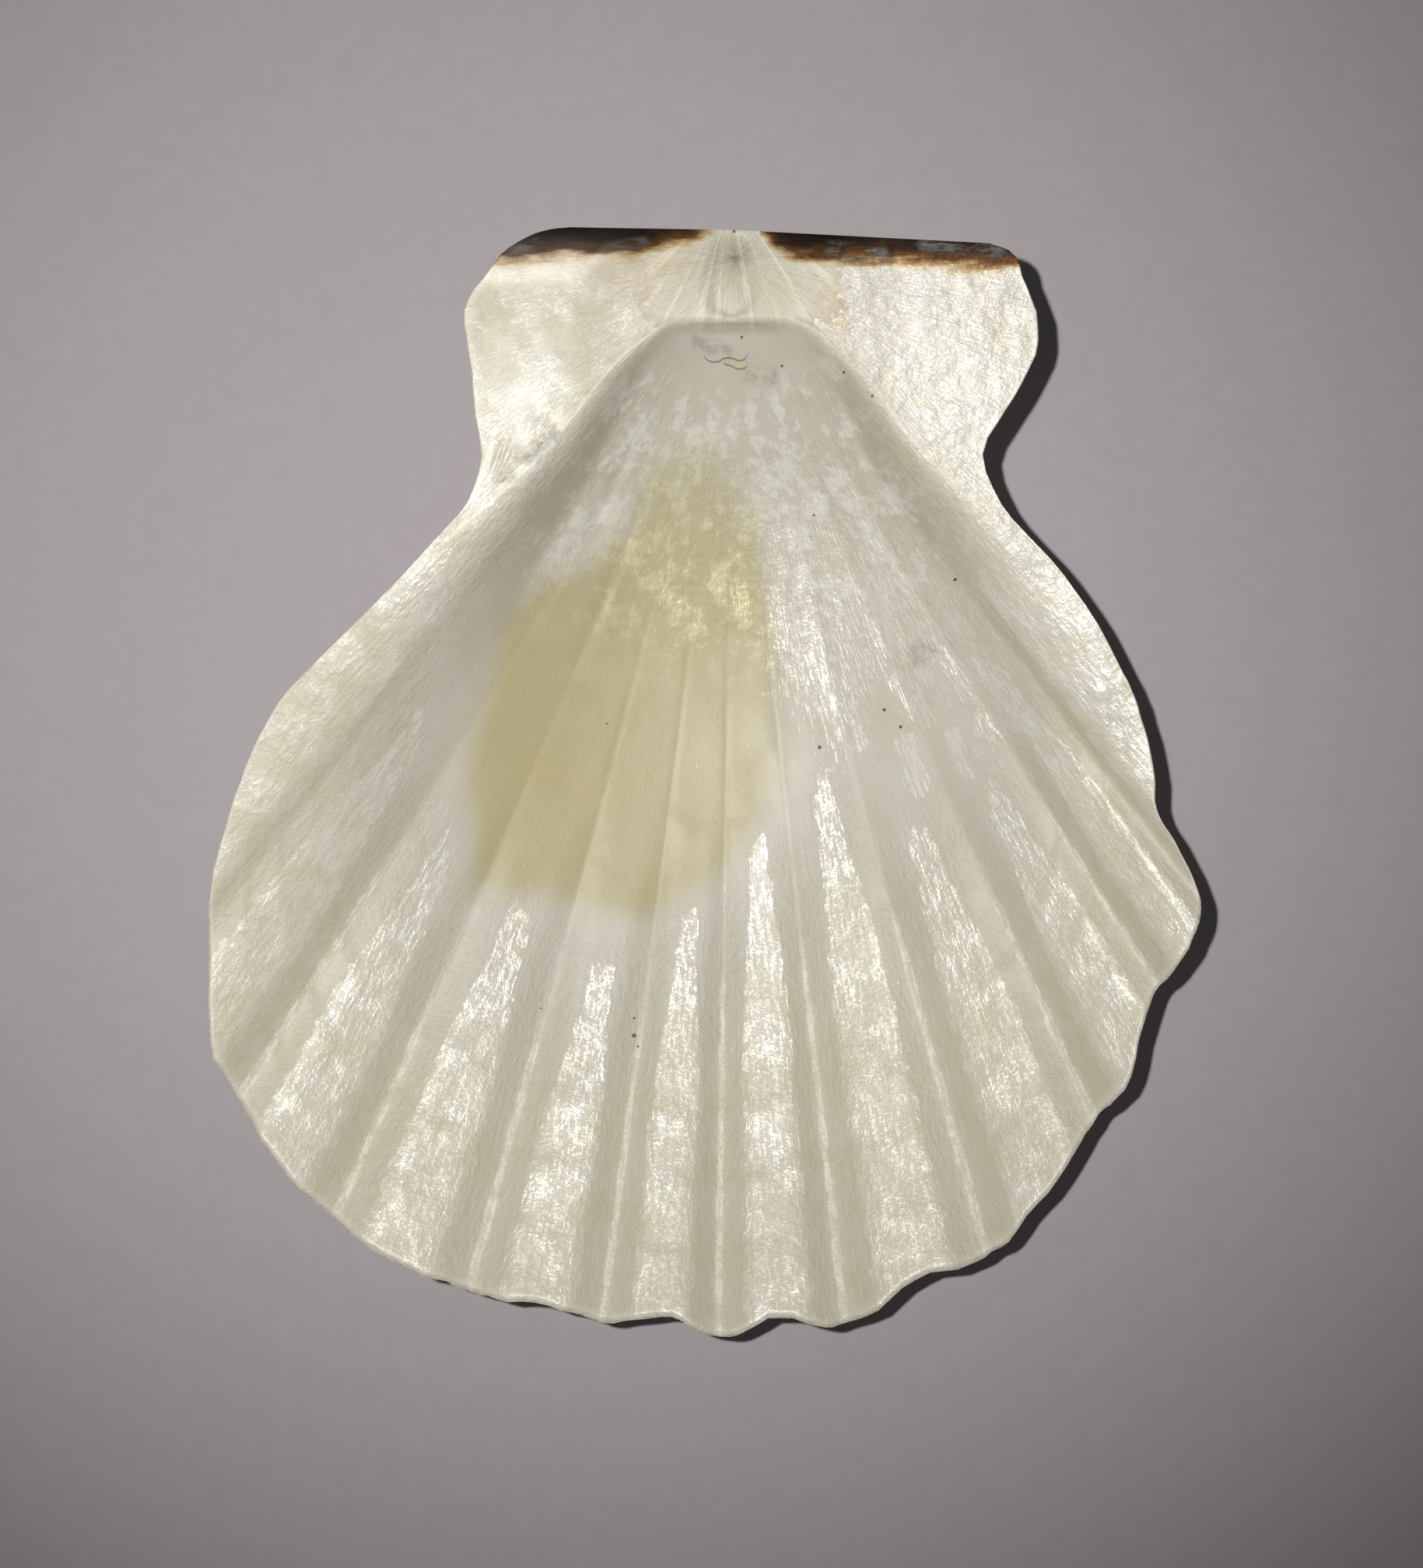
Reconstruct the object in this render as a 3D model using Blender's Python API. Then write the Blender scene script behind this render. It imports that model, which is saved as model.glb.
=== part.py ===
"""One valve of a scallop, lying on its convex back with the pearly hollow up.

The shell grows as a fan from its beak, so the model is a fan too. Each ray runs from the middle
of the hinge line to the margin. Each row across the rays is a growth line. The hollow side and
the back are two height fields over the same plan and are joined by a thin wall along the margin.
+Y points to the hinge, +Z is up and the shell rests on z = 0.
"""
import bmesh
import bpy
import numpy as np

MM = 0.001

# Plan outline in millimetres from the beak, from the left end of the hinge round to the right end.
# Points stand only where the outline turns. A smooth curve runs through them.
EAR_LEFT = [(-11.5, 2.0), (-13.9, 1.3), (-16.2, 0.2), (-17.9, -1.8), (-19.0, -3.8),
            (-18.7, -6.5), (-18.4, -10.2), (-17.9, -13.8), (-18.8, -16.8)]
DISC_LEFT = [(-19.8, -18.1), (-21.7, -20.15), (-24.5, -23.1), (-29.9, -28.4), (-32.6, -31.3),
             (-34.7, -35.2), (-36.2, -39.3), (-37.4, -43.8), (-37.8, -47.7), (-37.7, -55.0),
             (-36.7, -58.1), (-32.9, -64.6), (-27.8, -69.7), (-20.5, -73.4)]
VENTRAL = [(-12.6, -75.2), (-4.2, -76.4), (3.7, -76.3), (9.9, -75.3)]
DISC_RIGHT = [(13.1, -73.2), (18.5, -71.1), (22.8, -66.2), (25.4, -62.1), (28.2, -58.5),
              (29.8, -53.3), (32.3, -48.5), (33.2, -45.2), (31.6, -41.4), (30.1, -38.8),
              (29.9, -35.7), (28.6, -31.3), (25.7, -25.5), (22.8, -21.5), (20.8, -19.4)]
EAR_RIGHT = [(18.8, -17.1), (17.5, -14.0), (18.2, -11.8), (19.9, -9.2), (21.2, -6.5),
             (21.3, -3.8), (20.4, -1.3), (19.4, 0.3), (17.8, 0.9)]
OUTLINE = EAR_LEFT + DISC_LEFT + VENTRAL + DISC_RIGHT + EAR_RIGHT
HINGE_MIDDLE = (0.0, 1.8)

# Ribs: the angle of each outer rib at the beak, in degrees from straight down the disc.
RIB_ANGLES = (-39.0, -31.0, -23.0, -14.7, -7.2, -0.9, 6.0, 14.5, 23.1, 30.7, 36.5)
RIB_PITCH_AT_ENDS = 7.0
RIB_HALF_WIDTH = 0.27        # of the pitch between ribs
RIB_CREST = 0.06             # half width of the flat crest on the back, of the pitch
RIBS_FADE_LEFT = (-42.5, -38.0)      # degrees over which the outermost ribs fade out
RIBS_FADE_RIGHT = (36.0, 39.5)
RIB_HEIGHT_BACK = 1.15       # at the margin, on the back
RIB_DEPTH_INSIDE = 0.85      # at the margin, seen from inside as a groove
GROOVES_BEGIN = 0.4          # growth fraction where the grooves inside begin to show
LOBE_HEIGHT = 0.75           # how far each rib pushes the ventral margin out
LOBE_SPREAD = 11.0           # degrees over which the lobes die out to the sides

# Form of the disc: radius of a smooth margin by angle, and how fast the valve curls as it grows.
FORM_RADIUS = 76.5
FORM_LEFT = (57.0, 4.0)      # angle where the radius would reach zero, and the falloff power
FORM_RIGHT = (63.0, 2.07)
FORM_LEAST = 0.3             # of the form radius, towards the ears
GROWTH_LIMITS = (1e-6, 1.4)  # keep the curl finite at the beak and past the margin
CURL = 0.50                  # radians of curl for each e-fold of growth
FLANK_ANGLE = 40.0           # degrees from the axis, the middle of the slope up to the ear
FLANK_SPLAY = 6.0            # degrees more than that close to the hinge
SPLAY_BEGINS = (1.0, 7.0)    # distances from the beak over which the splay sets in
SPLAY_ENDS = (8.0, 19.0)     # and those over which it dies out again
FLANK_HALF_WIDTH = 3.0       # degrees, beside the ear
FLANK_SOFTENING = 2.5        # degrees more than that out along the disc
FLANK_SOFTENS = (20.0, 40.0)         # distances from the beak over which it does so
FLANK_BACK_OFFSET = 3.0      # degrees further out on the back, so that the wall keeps its thickness
ARCH_DROP = 0.42             # share of the depth lost between the axis and the flank
ARCH_POWER = 2.5
ARCH_LIMIT = 1.2             # of the flank's angle, where the arch stops

# Wall thickness, in millimetres straight down.
WALL_LEAST = 0.8
WALL_MARGIN = 0.9
WALL_DISC = 1.5
WALL_THINS_FROM = 0.55       # growth fraction
WALL_UMBO_EXTRA = 2.8
WALL_UMBO_REACH = 11.0
WALL_EAR = 1.3

# Hinge: the plate between the ears, its lower ledge and the pit for the ligament.
LEDGE_DROP = 6.4             # from the hinge line down to the ledge
LEDGE_MIDDLE = 0.5           # millimetres across from the beak
LEDGE_HALF_LENGTH = 5.6
LEDGE_SOFTNESS = 0.35
LEDGE_END = 1.2              # length over which each end runs out
PIT_MIDDLE = -0.3            # millimetres across from the beak
PIT_LENGTH = 5.9
PIT_NECK = 1.2               # half width at the hinge line
PIT_BELLY = 2.0              # half width where the pit is widest
PIT_DEPTH = 0.75
PIT_NECK_FADE = 0.3          # of its length, over which it deepens from the hinge line
PIT_ROUND_FROM = 0.7         # of its length, where the round bottom begins
PIT_ROUND_TO = 0.99          # of the round bottom, kept short of a point
PIT_EDGE = (0.55, 1.15)      # of its half width, the slope of its sides
EAR_DISH = 0.45              # how deep the ears are hollowed
EAR_DISH_BELOW = 4.0         # reached this far below the hinge line
EAR_DISH_SIDE = (7.0, 12.0)  # and over this stretch from the middle
EAR_BACK_SHARE = 0.3         # of that hollow shows on the back of the ear

# How the valve lies: the plane of its margin is higher at the hinge than at the ventral edge.
MARGIN_PLANE_SLOPE = 0.077
WORN_FLAT = 0.20             # how much the lowest rib crests are worn flat where they rest

# Mesh density.
CURVE_STEPS = 24
EAR_RAYS = 11
SHOULDER_RAYS = 6
RAYS_ON_A_RIB = (-0.27, -0.16, -0.06, 0.06, 0.16, 0.27)
HINGE_ROWS = (0.22, 0.44, 0.64, 0.82, 0.95, 1.05)
DISC_ROWS = 19
SHIFT_REACH = 9.0            # millimetres over which the rays shift from hinge line to beak
RAY_ON_DISC = (0.15, 0.6)    # cosines from straight down, from a hinge ray to a disc ray
RAY_LEAST = 0.02             # cosine that rays along the hinge line are given
LEDGE_ROW_LIMIT = 0.34       # of a ray's length, the furthest out that the ledge row runs
SWING_SPAN = (15.0, 44.0, 85.0)      # angles where the swing sets in, is full and ends


def smoothstep(low, high, value):
    """Rise smoothly from 0 at low to 1 at high."""
    t = np.clip((value - low) / (high - low), 0.0, 1.0)
    return t * t * (3.0 - 2.0 * t)


def smooth_curve(points, steps):
    """Catmull-Rom curve through the points, as a dense polyline."""
    p = np.array(points)
    p = np.vstack([2 * p[0] - p[1], p, 2 * p[-1] - p[-2]])
    t = np.linspace(0.0, 1.0, steps, endpoint=False)[:, None]
    spans = []
    for i in range(1, len(p) - 2):
        before, here, after, beyond = p[i - 1], p[i], p[i + 1], p[i + 2]
        linear = after - before
        square = 2 * before - 5 * here + 4 * after - beyond
        cube = beyond - before + 3 * (here - after)
        spans.append(here + 0.5 * (linear * t + square * t ** 2 + cube * t ** 3))
    return np.vstack(spans + [p[-2:-1]])


def angle_from_axis(x, y):
    """Angle at the beak in degrees, 0 straight down the disc, positive to the right."""
    return np.degrees(np.arctan2(x, -y))


def rib_phase(angle):
    """Whole numbers on the ribs, halves between them."""
    first = RIB_ANGLES[0] - RIB_PITCH_AT_ENDS
    last = RIB_ANGLES[-1] + RIB_PITCH_AT_ENDS
    return np.interp(angle, (first, *RIB_ANGLES, last), np.arange(-1, len(RIB_ANGLES) + 1))


def rib_profile(angle, crest):
    """1 along the crest of each rib, 0 on the flat bands between them."""
    phase = rib_phase(angle)
    off = np.abs(phase - np.round(phase))
    slope = np.clip((off - crest) / (RIB_HALF_WIDTH - crest), 0.0, 1.0)
    bell = np.cos(0.5 * np.pi * slope) ** 2
    fade = smoothstep(*RIBS_FADE_LEFT, angle) * (1.0 - smoothstep(*RIBS_FADE_RIGHT, angle))
    return bell * fade


def margin_points():
    """Points along the margin where the rays end, dense on the ribs, in millimetres."""
    curve = smooth_curve(OUTLINE, CURVE_STEPS)
    angle = angle_from_axis(curve[:, 0], curve[:, 1])
    radius = np.hypot(curve[:, 0], curve[:, 1])
    lobes = np.cos(2 * np.pi * rib_phase(angle)) * np.exp(-(angle / LOBE_SPREAD) ** 2)
    curve = curve * (1.0 + LOBE_HEIGHT * lobes / radius)[:, None]
    length = np.concatenate([[0.0], np.cumsum(np.hypot(*np.diff(curve, axis=0).T))])

    ear_left = (len(EAR_LEFT) - 1) * CURVE_STEPS
    ear_right = len(curve) - 1 - ear_left
    disc = [np.interp(i + step, np.arange(len(RIB_ANGLES)), RIB_ANGLES)
            for i in range(len(RIB_ANGLES)) for step in RAYS_ON_A_RIB]
    disc = np.unique([a for a in disc if RIB_ANGLES[0] <= a <= RIB_ANGLES[-1]])
    on_disc = np.interp(disc, angle, length)
    stops = np.concatenate([
        np.linspace(0.0, length[ear_left], EAR_RAYS, endpoint=False),
        np.linspace(length[ear_left], on_disc[0], SHOULDER_RAYS, endpoint=False),
        on_disc,
        np.linspace(length[ear_right], on_disc[-1], SHOULDER_RAYS, endpoint=False)[::-1],
        np.linspace(length[-1], length[ear_right], EAR_RAYS, endpoint=False)[::-1]])
    return np.stack([np.interp(stops, length, curve[:, k]) for k in (0, 1)], axis=-1)


def flank_splay(r):
    """Degrees by which the flank leaves its straight course close to the hinge."""
    return FLANK_SPLAY * (1.0 - smoothstep(*SPLAY_ENDS, r)) * smoothstep(*SPLAY_BEGINS, r)


def follow_flank(plan):
    """Swing the rays beside the ears outward near the hinge, so that they run along the flank."""
    x, y = plan[..., 0], plan[..., 1]
    angle = angle_from_axis(x, y)
    r = np.hypot(x, y)
    sets_in, full, ends = SWING_SPAN
    off = np.abs(angle)
    near = smoothstep(sets_in, FLANK_ANGLE, off) * (1.0 - smoothstep(full, ends, off))
    turned = np.radians(angle + np.sign(angle) * near * flank_splay(r))
    return np.stack([r * np.sin(turned), -r * np.cos(turned)], axis=-1)


def plan_grid():
    """Plan positions of the fan: rays by rows. Row 0 is the middle of the hinge line."""
    margin = margin_points()
    pole = np.array(HINGE_MIDDLE)
    reach = np.hypot(*(margin - pole).T)
    down = np.maximum((pole[1] - margin[:, 1]) / reach, RAY_LEAST)
    ledge = np.minimum(LEDGE_DROP / (reach * down), LEDGE_ROW_LIMIT)
    inner = ledge[:, None] * np.array(HINGE_ROWS)[None, :]
    along = np.linspace(0.0, 1.0, DISC_ROWS + 1)[None, 1:]
    outer = inner[:, -1:] + (1.0 - inner[:, -1:]) * along
    v = np.hstack([np.zeros((len(margin), 1)), inner, outer])[..., None]
    # Rays along the hinge run straight from the pole. Those of the disc shift to the beak.
    shift = smoothstep(0.0, SHIFT_REACH, v * np.hypot(*margin.T)[:, None, None])
    on_disc = smoothstep(*RAY_ON_DISC, down)[:, None, None]
    keep = (1.0 - on_disc) * (1.0 - v) + on_disc * (1.0 - shift)
    return follow_flank(pole * keep + margin[:, None, :] * v)


def form_radius(angle):
    """Radius of the disc's smooth margin at each angle."""
    left = 1.0 - (np.abs(angle) / FORM_LEFT[0]) ** FORM_LEFT[1]
    right = 1.0 - (np.abs(angle) / FORM_RIGHT[0]) ** FORM_RIGHT[1]
    return FORM_RADIUS * np.maximum(np.where(angle < 0.0, left, right), FORM_LEAST)


def disc_fields(x, y):
    """Angle at the beak, distance from the beak and growth fraction."""
    angle = angle_from_axis(x, y)
    r = np.hypot(x, y)
    growth = np.clip(r / form_radius(angle), *GROWTH_LIMITS)
    return angle, r, growth


def disc_share(angle, r, offset):
    """1 on the disc, 0 on the ears and along the dorsal rim, with the flank between them."""
    middle = FLANK_ANGLE + offset + flank_splay(r)
    half = FLANK_HALF_WIDTH + FLANK_SOFTENING * smoothstep(*FLANK_SOFTENS, r)
    return 1.0 - smoothstep(middle - half, middle + half, np.abs(angle))


def bowl_depth(angle, r, growth):
    """A surface that curls as it grows, arched from side to side."""
    arch = 1.0 - ARCH_DROP * np.minimum(np.abs(angle) / FLANK_ANGLE, ARCH_LIMIT) ** ARCH_POWER
    return arch * r * np.sin(CURL * np.log(1.0 / growth)) + WALL_MARGIN


def ligament_pit(x, below_hinge):
    """Bell-shaped pit in the hinge plate: a narrow neck at the hinge line and a round belly."""
    along = np.clip(below_hinge / PIT_LENGTH, 0.0, 1.0)
    half = PIT_NECK + (PIT_BELLY - PIT_NECK) * smoothstep(0.0, PIT_ROUND_FROM, along)
    bottom = np.clip((along - PIT_ROUND_FROM) / (1.0 - PIT_ROUND_FROM), 0.0, PIT_ROUND_TO)
    half = half * np.sqrt(1.0 - bottom ** 2)
    inside = 1.0 - smoothstep(*PIT_EDGE, np.abs(x - PIT_MIDDLE) / half)
    deepens = smoothstep(0.0, PIT_NECK_FADE, along)
    return PIT_DEPTH * inside * deepens * (below_hinge < PIT_LENGTH)


def inside_depth(x, y):
    """Depth of the hollow side: the back less the wall, with the hinge plate over the umbo."""
    angle, r, growth = disc_fields(x, y)
    thinning = smoothstep(WALL_THINS_FROM, 1.0, growth)
    wall = WALL_DISC + (WALL_MARGIN - WALL_DISC) * thinning
    wall = wall + WALL_UMBO_EXTRA * np.exp(-(r / WALL_UMBO_REACH) ** 2)
    grooves = RIB_DEPTH_INSIDE * smoothstep(GROOVES_BEGIN, 1.0, growth) * rib_profile(angle, 0.0)
    disc = bowl_depth(angle, r, growth) - wall + grooves
    below_hinge = HINGE_MIDDLE[1] - y
    ear = EAR_DISH * smoothstep(0.0, EAR_DISH_BELOW, below_hinge)
    ear = ear * smoothstep(*EAR_DISH_SIDE, np.abs(x))
    plate = 1.0 - smoothstep(-LEDGE_SOFTNESS, LEDGE_SOFTNESS, below_hinge - LEDGE_DROP)
    end = np.abs(x - LEDGE_MIDDLE) - LEDGE_HALF_LENGTH
    plate = plate * (1.0 - smoothstep(0.0, LEDGE_END, end))
    share = disc_share(angle, r, 0.0) * (1.0 - plate)
    return share * disc + (1.0 - share) * ear + ligament_pit(x, below_hinge)


def back_depth(x, y):
    """Depth of the convex back below the plane of the margin."""
    angle, r, growth = disc_fields(x, y)
    share = disc_share(angle, r, FLANK_BACK_OFFSET)
    bowl = bowl_depth(angle, r, growth)
    ribs = RIB_HEIGHT_BACK * smoothstep(0.0, 1.0, growth) * rib_profile(angle, RIB_CREST)
    ear = WALL_EAR + EAR_BACK_SHARE * EAR_DISH
    depth = share * (bowl + ribs) + (1.0 - share) * ear
    return np.maximum(depth, inside_depth(x, y) + WALL_LEAST)


def heights(x, y):
    """Heights of the hollow side and of the back, resting on z = 0 on worn rib crests."""
    plane = MARGIN_PLANE_SLOPE * y
    hollow = plane - inside_depth(x, y)
    back = plane - back_depth(x, y)
    floor = back.min() + WORN_FLAT
    return hollow - floor, np.maximum(back, floor) - floor


def fan_faces(rays, rows):
    """Faces of the fan and its rim. Vertex 0 is the pole, then come each ray's rows in turn."""
    def at(ray, row):
        return 0 if row == 0 else 1 + ray * (rows - 1) + row - 1

    top = []
    for ray in range(rays - 1):
        top.append((0, at(ray, 1), at(ray + 1, 1)))
        for row in range(1, rows - 1):
            top.append((at(ray, row), at(ray, row + 1), at(ray + 1, row + 1), at(ray + 1, row)))
    rim = [at(0, row) for row in range(rows)]
    rim += [at(ray, rows - 1) for ray in range(1, rays)]
    rim += [at(rays - 1, row) for row in range(rows - 2, 0, -1)]
    return top, rim


def shell_mesh():
    """The closed shell: hollow side, back and the wall that joins them round the rim."""
    plan = plan_grid()
    rays, rows = plan.shape[:2]
    points = np.vstack([plan[:1, 0], plan[:, 1:].reshape(-1, 2)])
    x, y = points.T
    hollow, back = heights(x, y)
    middle = 0.5 * (points.max(axis=0) + points.min(axis=0))
    x = x - middle[0]
    y = y - middle[1]
    vertices = np.vstack([np.stack([x, y, hollow], axis=-1), np.stack([x, y, back], axis=-1)])
    top, rim = fan_faces(rays, rows)
    under = len(points)
    faces = list(top)
    faces += [tuple(corner + under for corner in reversed(face)) for face in top]
    for here, after in zip(rim, rim[1:] + rim[:1]):
        faces.append((after, here, here + under, after + under))
    mesh = bpy.data.meshes.new("scallop_shell")
    mesh.from_pydata((vertices * MM).tolist(), [], faces)
    return mesh


def shell_material():
    """Pearly off-white."""
    material = bpy.data.materials.new("pearly shell")
    material.use_nodes = True
    shader = material.node_tree.nodes["Principled BSDF"]
    shader.inputs["Base Color"].default_value = (0.73, 0.69, 0.60, 1.0)
    shader.inputs["Roughness"].default_value = 0.35
    shader.inputs["Metallic"].default_value = 0.0
    return material


def clear_scene():
    """Remove whatever objects the scene holds."""
    for item in list(bpy.data.objects):
        bpy.data.objects.remove(item, do_unlink=True)


def build():
    """Make the shell and put it in its own collection."""
    clear_scene()
    mesh = shell_mesh()
    work = bmesh.new()
    work.from_mesh(mesh)
    bmesh.ops.triangulate(work, faces=work.faces)
    bmesh.ops.recalc_face_normals(work, faces=work.faces)
    work.to_mesh(mesh)
    work.free()
    mesh.shade_smooth()
    mesh.materials.append(shell_material())
    shell = bpy.data.objects.new("scallop_shell", mesh)
    collection = bpy.data.collections.new("ScallopShell")
    bpy.context.scene.collection.children.link(collection)
    collection.objects.link(shell)


build()
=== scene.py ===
"""Scallop shell valve: the finished look of one valve lying on its convex back.

The file is laid out as an add-on and is run as a script. One operator grows the valve as a fan of
growth lines and rays and gives it its pearly and its ribbed material, the other sets the stage.
Lengths are in millimetres until a mesh is made. "Beak" coordinates start at the beak, with +Y to
the hinge line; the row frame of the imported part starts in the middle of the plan.
"""

import bpy
import numpy as np
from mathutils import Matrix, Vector


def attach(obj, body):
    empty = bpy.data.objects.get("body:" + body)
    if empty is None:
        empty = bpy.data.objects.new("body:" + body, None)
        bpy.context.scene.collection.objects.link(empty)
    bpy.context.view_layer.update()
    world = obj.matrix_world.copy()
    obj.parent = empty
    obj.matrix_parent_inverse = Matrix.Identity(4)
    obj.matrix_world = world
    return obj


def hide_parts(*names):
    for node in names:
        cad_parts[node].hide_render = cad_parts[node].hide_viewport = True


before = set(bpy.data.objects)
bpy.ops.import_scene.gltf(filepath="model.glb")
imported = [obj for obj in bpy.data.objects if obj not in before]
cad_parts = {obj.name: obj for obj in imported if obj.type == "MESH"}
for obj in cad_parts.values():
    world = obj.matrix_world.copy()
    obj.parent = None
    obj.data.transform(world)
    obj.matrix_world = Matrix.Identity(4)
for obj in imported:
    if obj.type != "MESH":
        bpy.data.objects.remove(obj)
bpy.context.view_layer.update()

bl_info = {
    "name": "Scallop Shell",
    "version": (1, 0, 0),
    "blender": (4, 5, 0),
    "location": "View3D > Sidebar > Shell",
    "description": "Grows one pearly scallop valve and sets it on a plain stage",
    "category": "Object",
}

MM = 0.001
NODE = "scallop_shell"

# Plan outline in beak coordinates, from the left end of the hinge round to the right end.
EAR_LEFT = [
    (-11.5, 2.0), (-13.0, 1.85), (-14.5, 1.4), (-15.8, 0.6), (-16.8, -0.3), (-17.6, -1.3), (-18.4, -2.4),
    (-19.0, -4.1), (-18.8, -6.5), (-18.4, -10.2), (-17.9, -13.8), (-18.8, -16.8)]
DISC_LEFT = [
    (-19.8, -18.1), (-21.7, -20.15), (-24.5, -23.1), (-29.9, -28.4), (-32.6, -31.3), (-34.7, -35.2),
    (-36.2, -39.3), (-37.4, -43.8), (-37.8, -47.7), (-37.7, -55.0), (-36.7, -58.1), (-32.9, -64.6),
    (-27.8, -69.7), (-20.5, -73.4)]
VENTRAL = [(-12.6, -75.2), (-4.2, -76.4), (3.7, -76.3), (9.9, -75.3)]
DISC_RIGHT = [
    (13.1, -73.2), (18.5, -71.1), (22.8, -66.2), (25.4, -62.1), (28.2, -58.5), (29.8, -53.3),
    (32.3, -48.5), (33.2, -45.2), (31.6, -41.4), (30.1, -38.8), (29.9, -35.7), (28.6, -31.3),
    (25.7, -25.5), (22.8, -21.5), (20.8, -19.4)]
EAR_RIGHT = [
    (18.8, -17.1), (17.5, -14.0), (18.2, -11.8), (19.9, -9.2), (21.2, -6.5), (21.3, -3.8), (20.4, -1.3),
    (19.4, 0.3), (17.8, 0.9)]
OUTLINE = EAR_LEFT + DISC_LEFT + VENTRAL + DISC_RIGHT + EAR_RIGHT
HINGE_MIDDLE = (0.0, 1.8)
BEAK_IN_ROW = (2.31, 37.59)  # where the beak lies in the row frame

# Ribs and grooves, by angle at the beak in degrees from straight down the disc.
RIB_ANGLES = (-39.0, -31.0, -23.0, -14.7, -7.2, -0.9, 6.0, 14.5, 23.1, 30.7, 36.5)
RIB_PITCH_AT_ENDS = 7.0
RIB_HALF_WIDTH = 0.27
GROOVE_HALF_WIDTH = 0.29
GROOVE_FLOOR = 0.16  # rounding of the groove's floor, of its half width
RIBS_FADE_LEFT = (-42.5, -38.0)
RIBS_FADE_RIGHT = (36.0, 39.5)
GROOVES_BEGIN = 0.46
GROOVES_CRISPEN = (0.55, 0.80)  # growth fraction over which their sides straighten
RIBS_AT_BEAK = 0.35  # height of the back's ribs near the beak, of that at the margin
LOBE_HEIGHT = 0.75
LOBE_SPREAD = 11.0

# Form of the disc.
FORM_RADIUS = 76.5
FORM_LEFT = (57.0, 4.0)
FORM_RIGHT = (63.0, 2.07)
FORM_LEAST = 0.3
GROWTH_LIMITS = (1e-6, 1.4)
CURL = 0.50
FLANK_ANGLE = 40.0
FLANK_SPLAY = 6.0
SPLAY_BEGINS = (1.0, 7.0)
SPLAY_ENDS = (8.0, 19.0)
FLANK_HALF_WIDTH = 5.0
FLANK_SOFTENING = 4.0
FLANK_SOFTENS = (20.0, 40.0)
FLANK_BACK_OFFSET = 3.0
ARCH_DROP = 0.42
ARCH_POWER = 2.5
ARCH_LIMIT = 1.2

# Wall.
WALL_LEAST = 0.6
WALL_MARGIN = 0.9
WALL_DISC = 1.5
WALL_THINS_FROM = 0.55
WALL_UMBO_EXTRA = 2.8
WALL_UMBO_REACH = 11.0
WALL_EAR = 1.3

# Hinge.
LEDGE_DROP = 6.4
LEDGE_MIDDLE = 0.5
LEDGE_HALF_LENGTH = 5.6
LEDGE_SOFTNESS = 0.28
LEDGE_END = 1.2
PIT_MIDDLE = -0.3
PIT_LENGTH = 5.9
PIT_NECK = 1.2
PIT_BELLY = 2.0
PIT_NECK_FADE = 0.3
PIT_ROUND_FROM = 0.7
PIT_ROUND_TO = 0.99
PIT_EDGE = (0.50, 1.15)
EAR_DISH_BELOW = 4.0
EAR_DISH_SIDE = (7.0, 12.0)
EAR_BACK_SHARE = 0.3

MARGIN_PLANE_SLOPE = 0.077
WORN_FLAT = 0.20

# Mesh density: rays along each stretch of the margin, and rows out along every ray.
CURVE_STEPS = 24
EAR_RAYS = 30
EAR_CROWDING = 1.35  # 1 spaces an ear's rays evenly, more crowds them towards its hinge end
SHOULDER_RAYS = 40
RAYS_PER_RIB = 16
RAY_CROWDING = 0.6  # 0 spaces the rays evenly, towards 1 crowds them on the ribs
HINGE_ROWS = 34
DISC_ROWS = 128
SHIFT_REACH = 9.0
RAY_ON_DISC = (0.15, 0.6)
RAY_LEAST = 0.02
LEDGE_ROW_LIMIT = 0.34
SWING_SPAN = (15.0, 44.0, 85.0)
LEDGE_ROWS_PAST = 1.05  # how far the hinge's rows run, of the way to the ledge

# Noise: cell in millimetres, height or share, and seed.
FRILL_WAVES = ((2.6, 1.0, 5), (1.3, 0.7, 6), (0.7, 0.5, 7))
FRILL_MEAN = 1.1  # of their sum
FRILL_ENDS = 4.0  # distance from the hinge over which the frill sets in
SWELLS = ((5.0, 0.10, 21), (2.1, 0.05, 22), (0.9, 0.02, 23))
SWELLS_BEGIN = (7.0, 14.0)  # distance from the beak
EAR_LINES = (1.1, 0.035, 25)
CRUST = (0.8, 0.45, 26)
CRUST_RAISED = 0.0225  # how far a chipped place stands proud on average
BACK_GRAIN = (1.6, 0.08, 32)

# Growth steps inside: growth fraction and height in millimetres.
GROWTH_STEPS = ((0.52, 0.05), (0.66, 0.05), (0.80, 0.10), (0.865, 0.12), (0.93, 0.10))
STEP_RUN = 0.004  # growth fraction over which a step rises
STEP_FADE = 0.03  # and that over which it dies away
STEP_WANDER = 0.02  # growth fraction by which a step strays round the shell
STEPS_BEGIN = (0.40, 0.55)  # growth fraction
CREASE_DEPTH, CREASE_HALF_WIDTH = 0.035, 0.28
CREASES_BEGIN, CREASES_END = (20.0, 28.0), (48.0, 56.0)  # distance from the beak
RIB_PITCH = 0.13  # of an even rib, in radians at the beak
FOLD_DEPTH = 0.13  # of the muscle scar's folds
FOLDS_BEGIN, FOLDS_END = (13.0, 18.0), (23.0, 36.0)  # distance from the beak
FOLDS_LONGER_RIGHT = 10.0  # millimetres by which they reach further to the right
FOLDS_RIGHT, FOLDS_LEFT = (2.0, 7.0), (-14.0, -20.0)  # angles over which they set in
RIBLET_HEIGHT, RIBLETS_PER_RIB = 0.11, 4.0
RIBLETS_BEGIN, SCALES_BEGIN = (0.10, 0.50), (0.15, 0.40)  # growth fraction
SCALE_HEIGHT, SCALE_LENGTH = 0.14, 2.4
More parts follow.
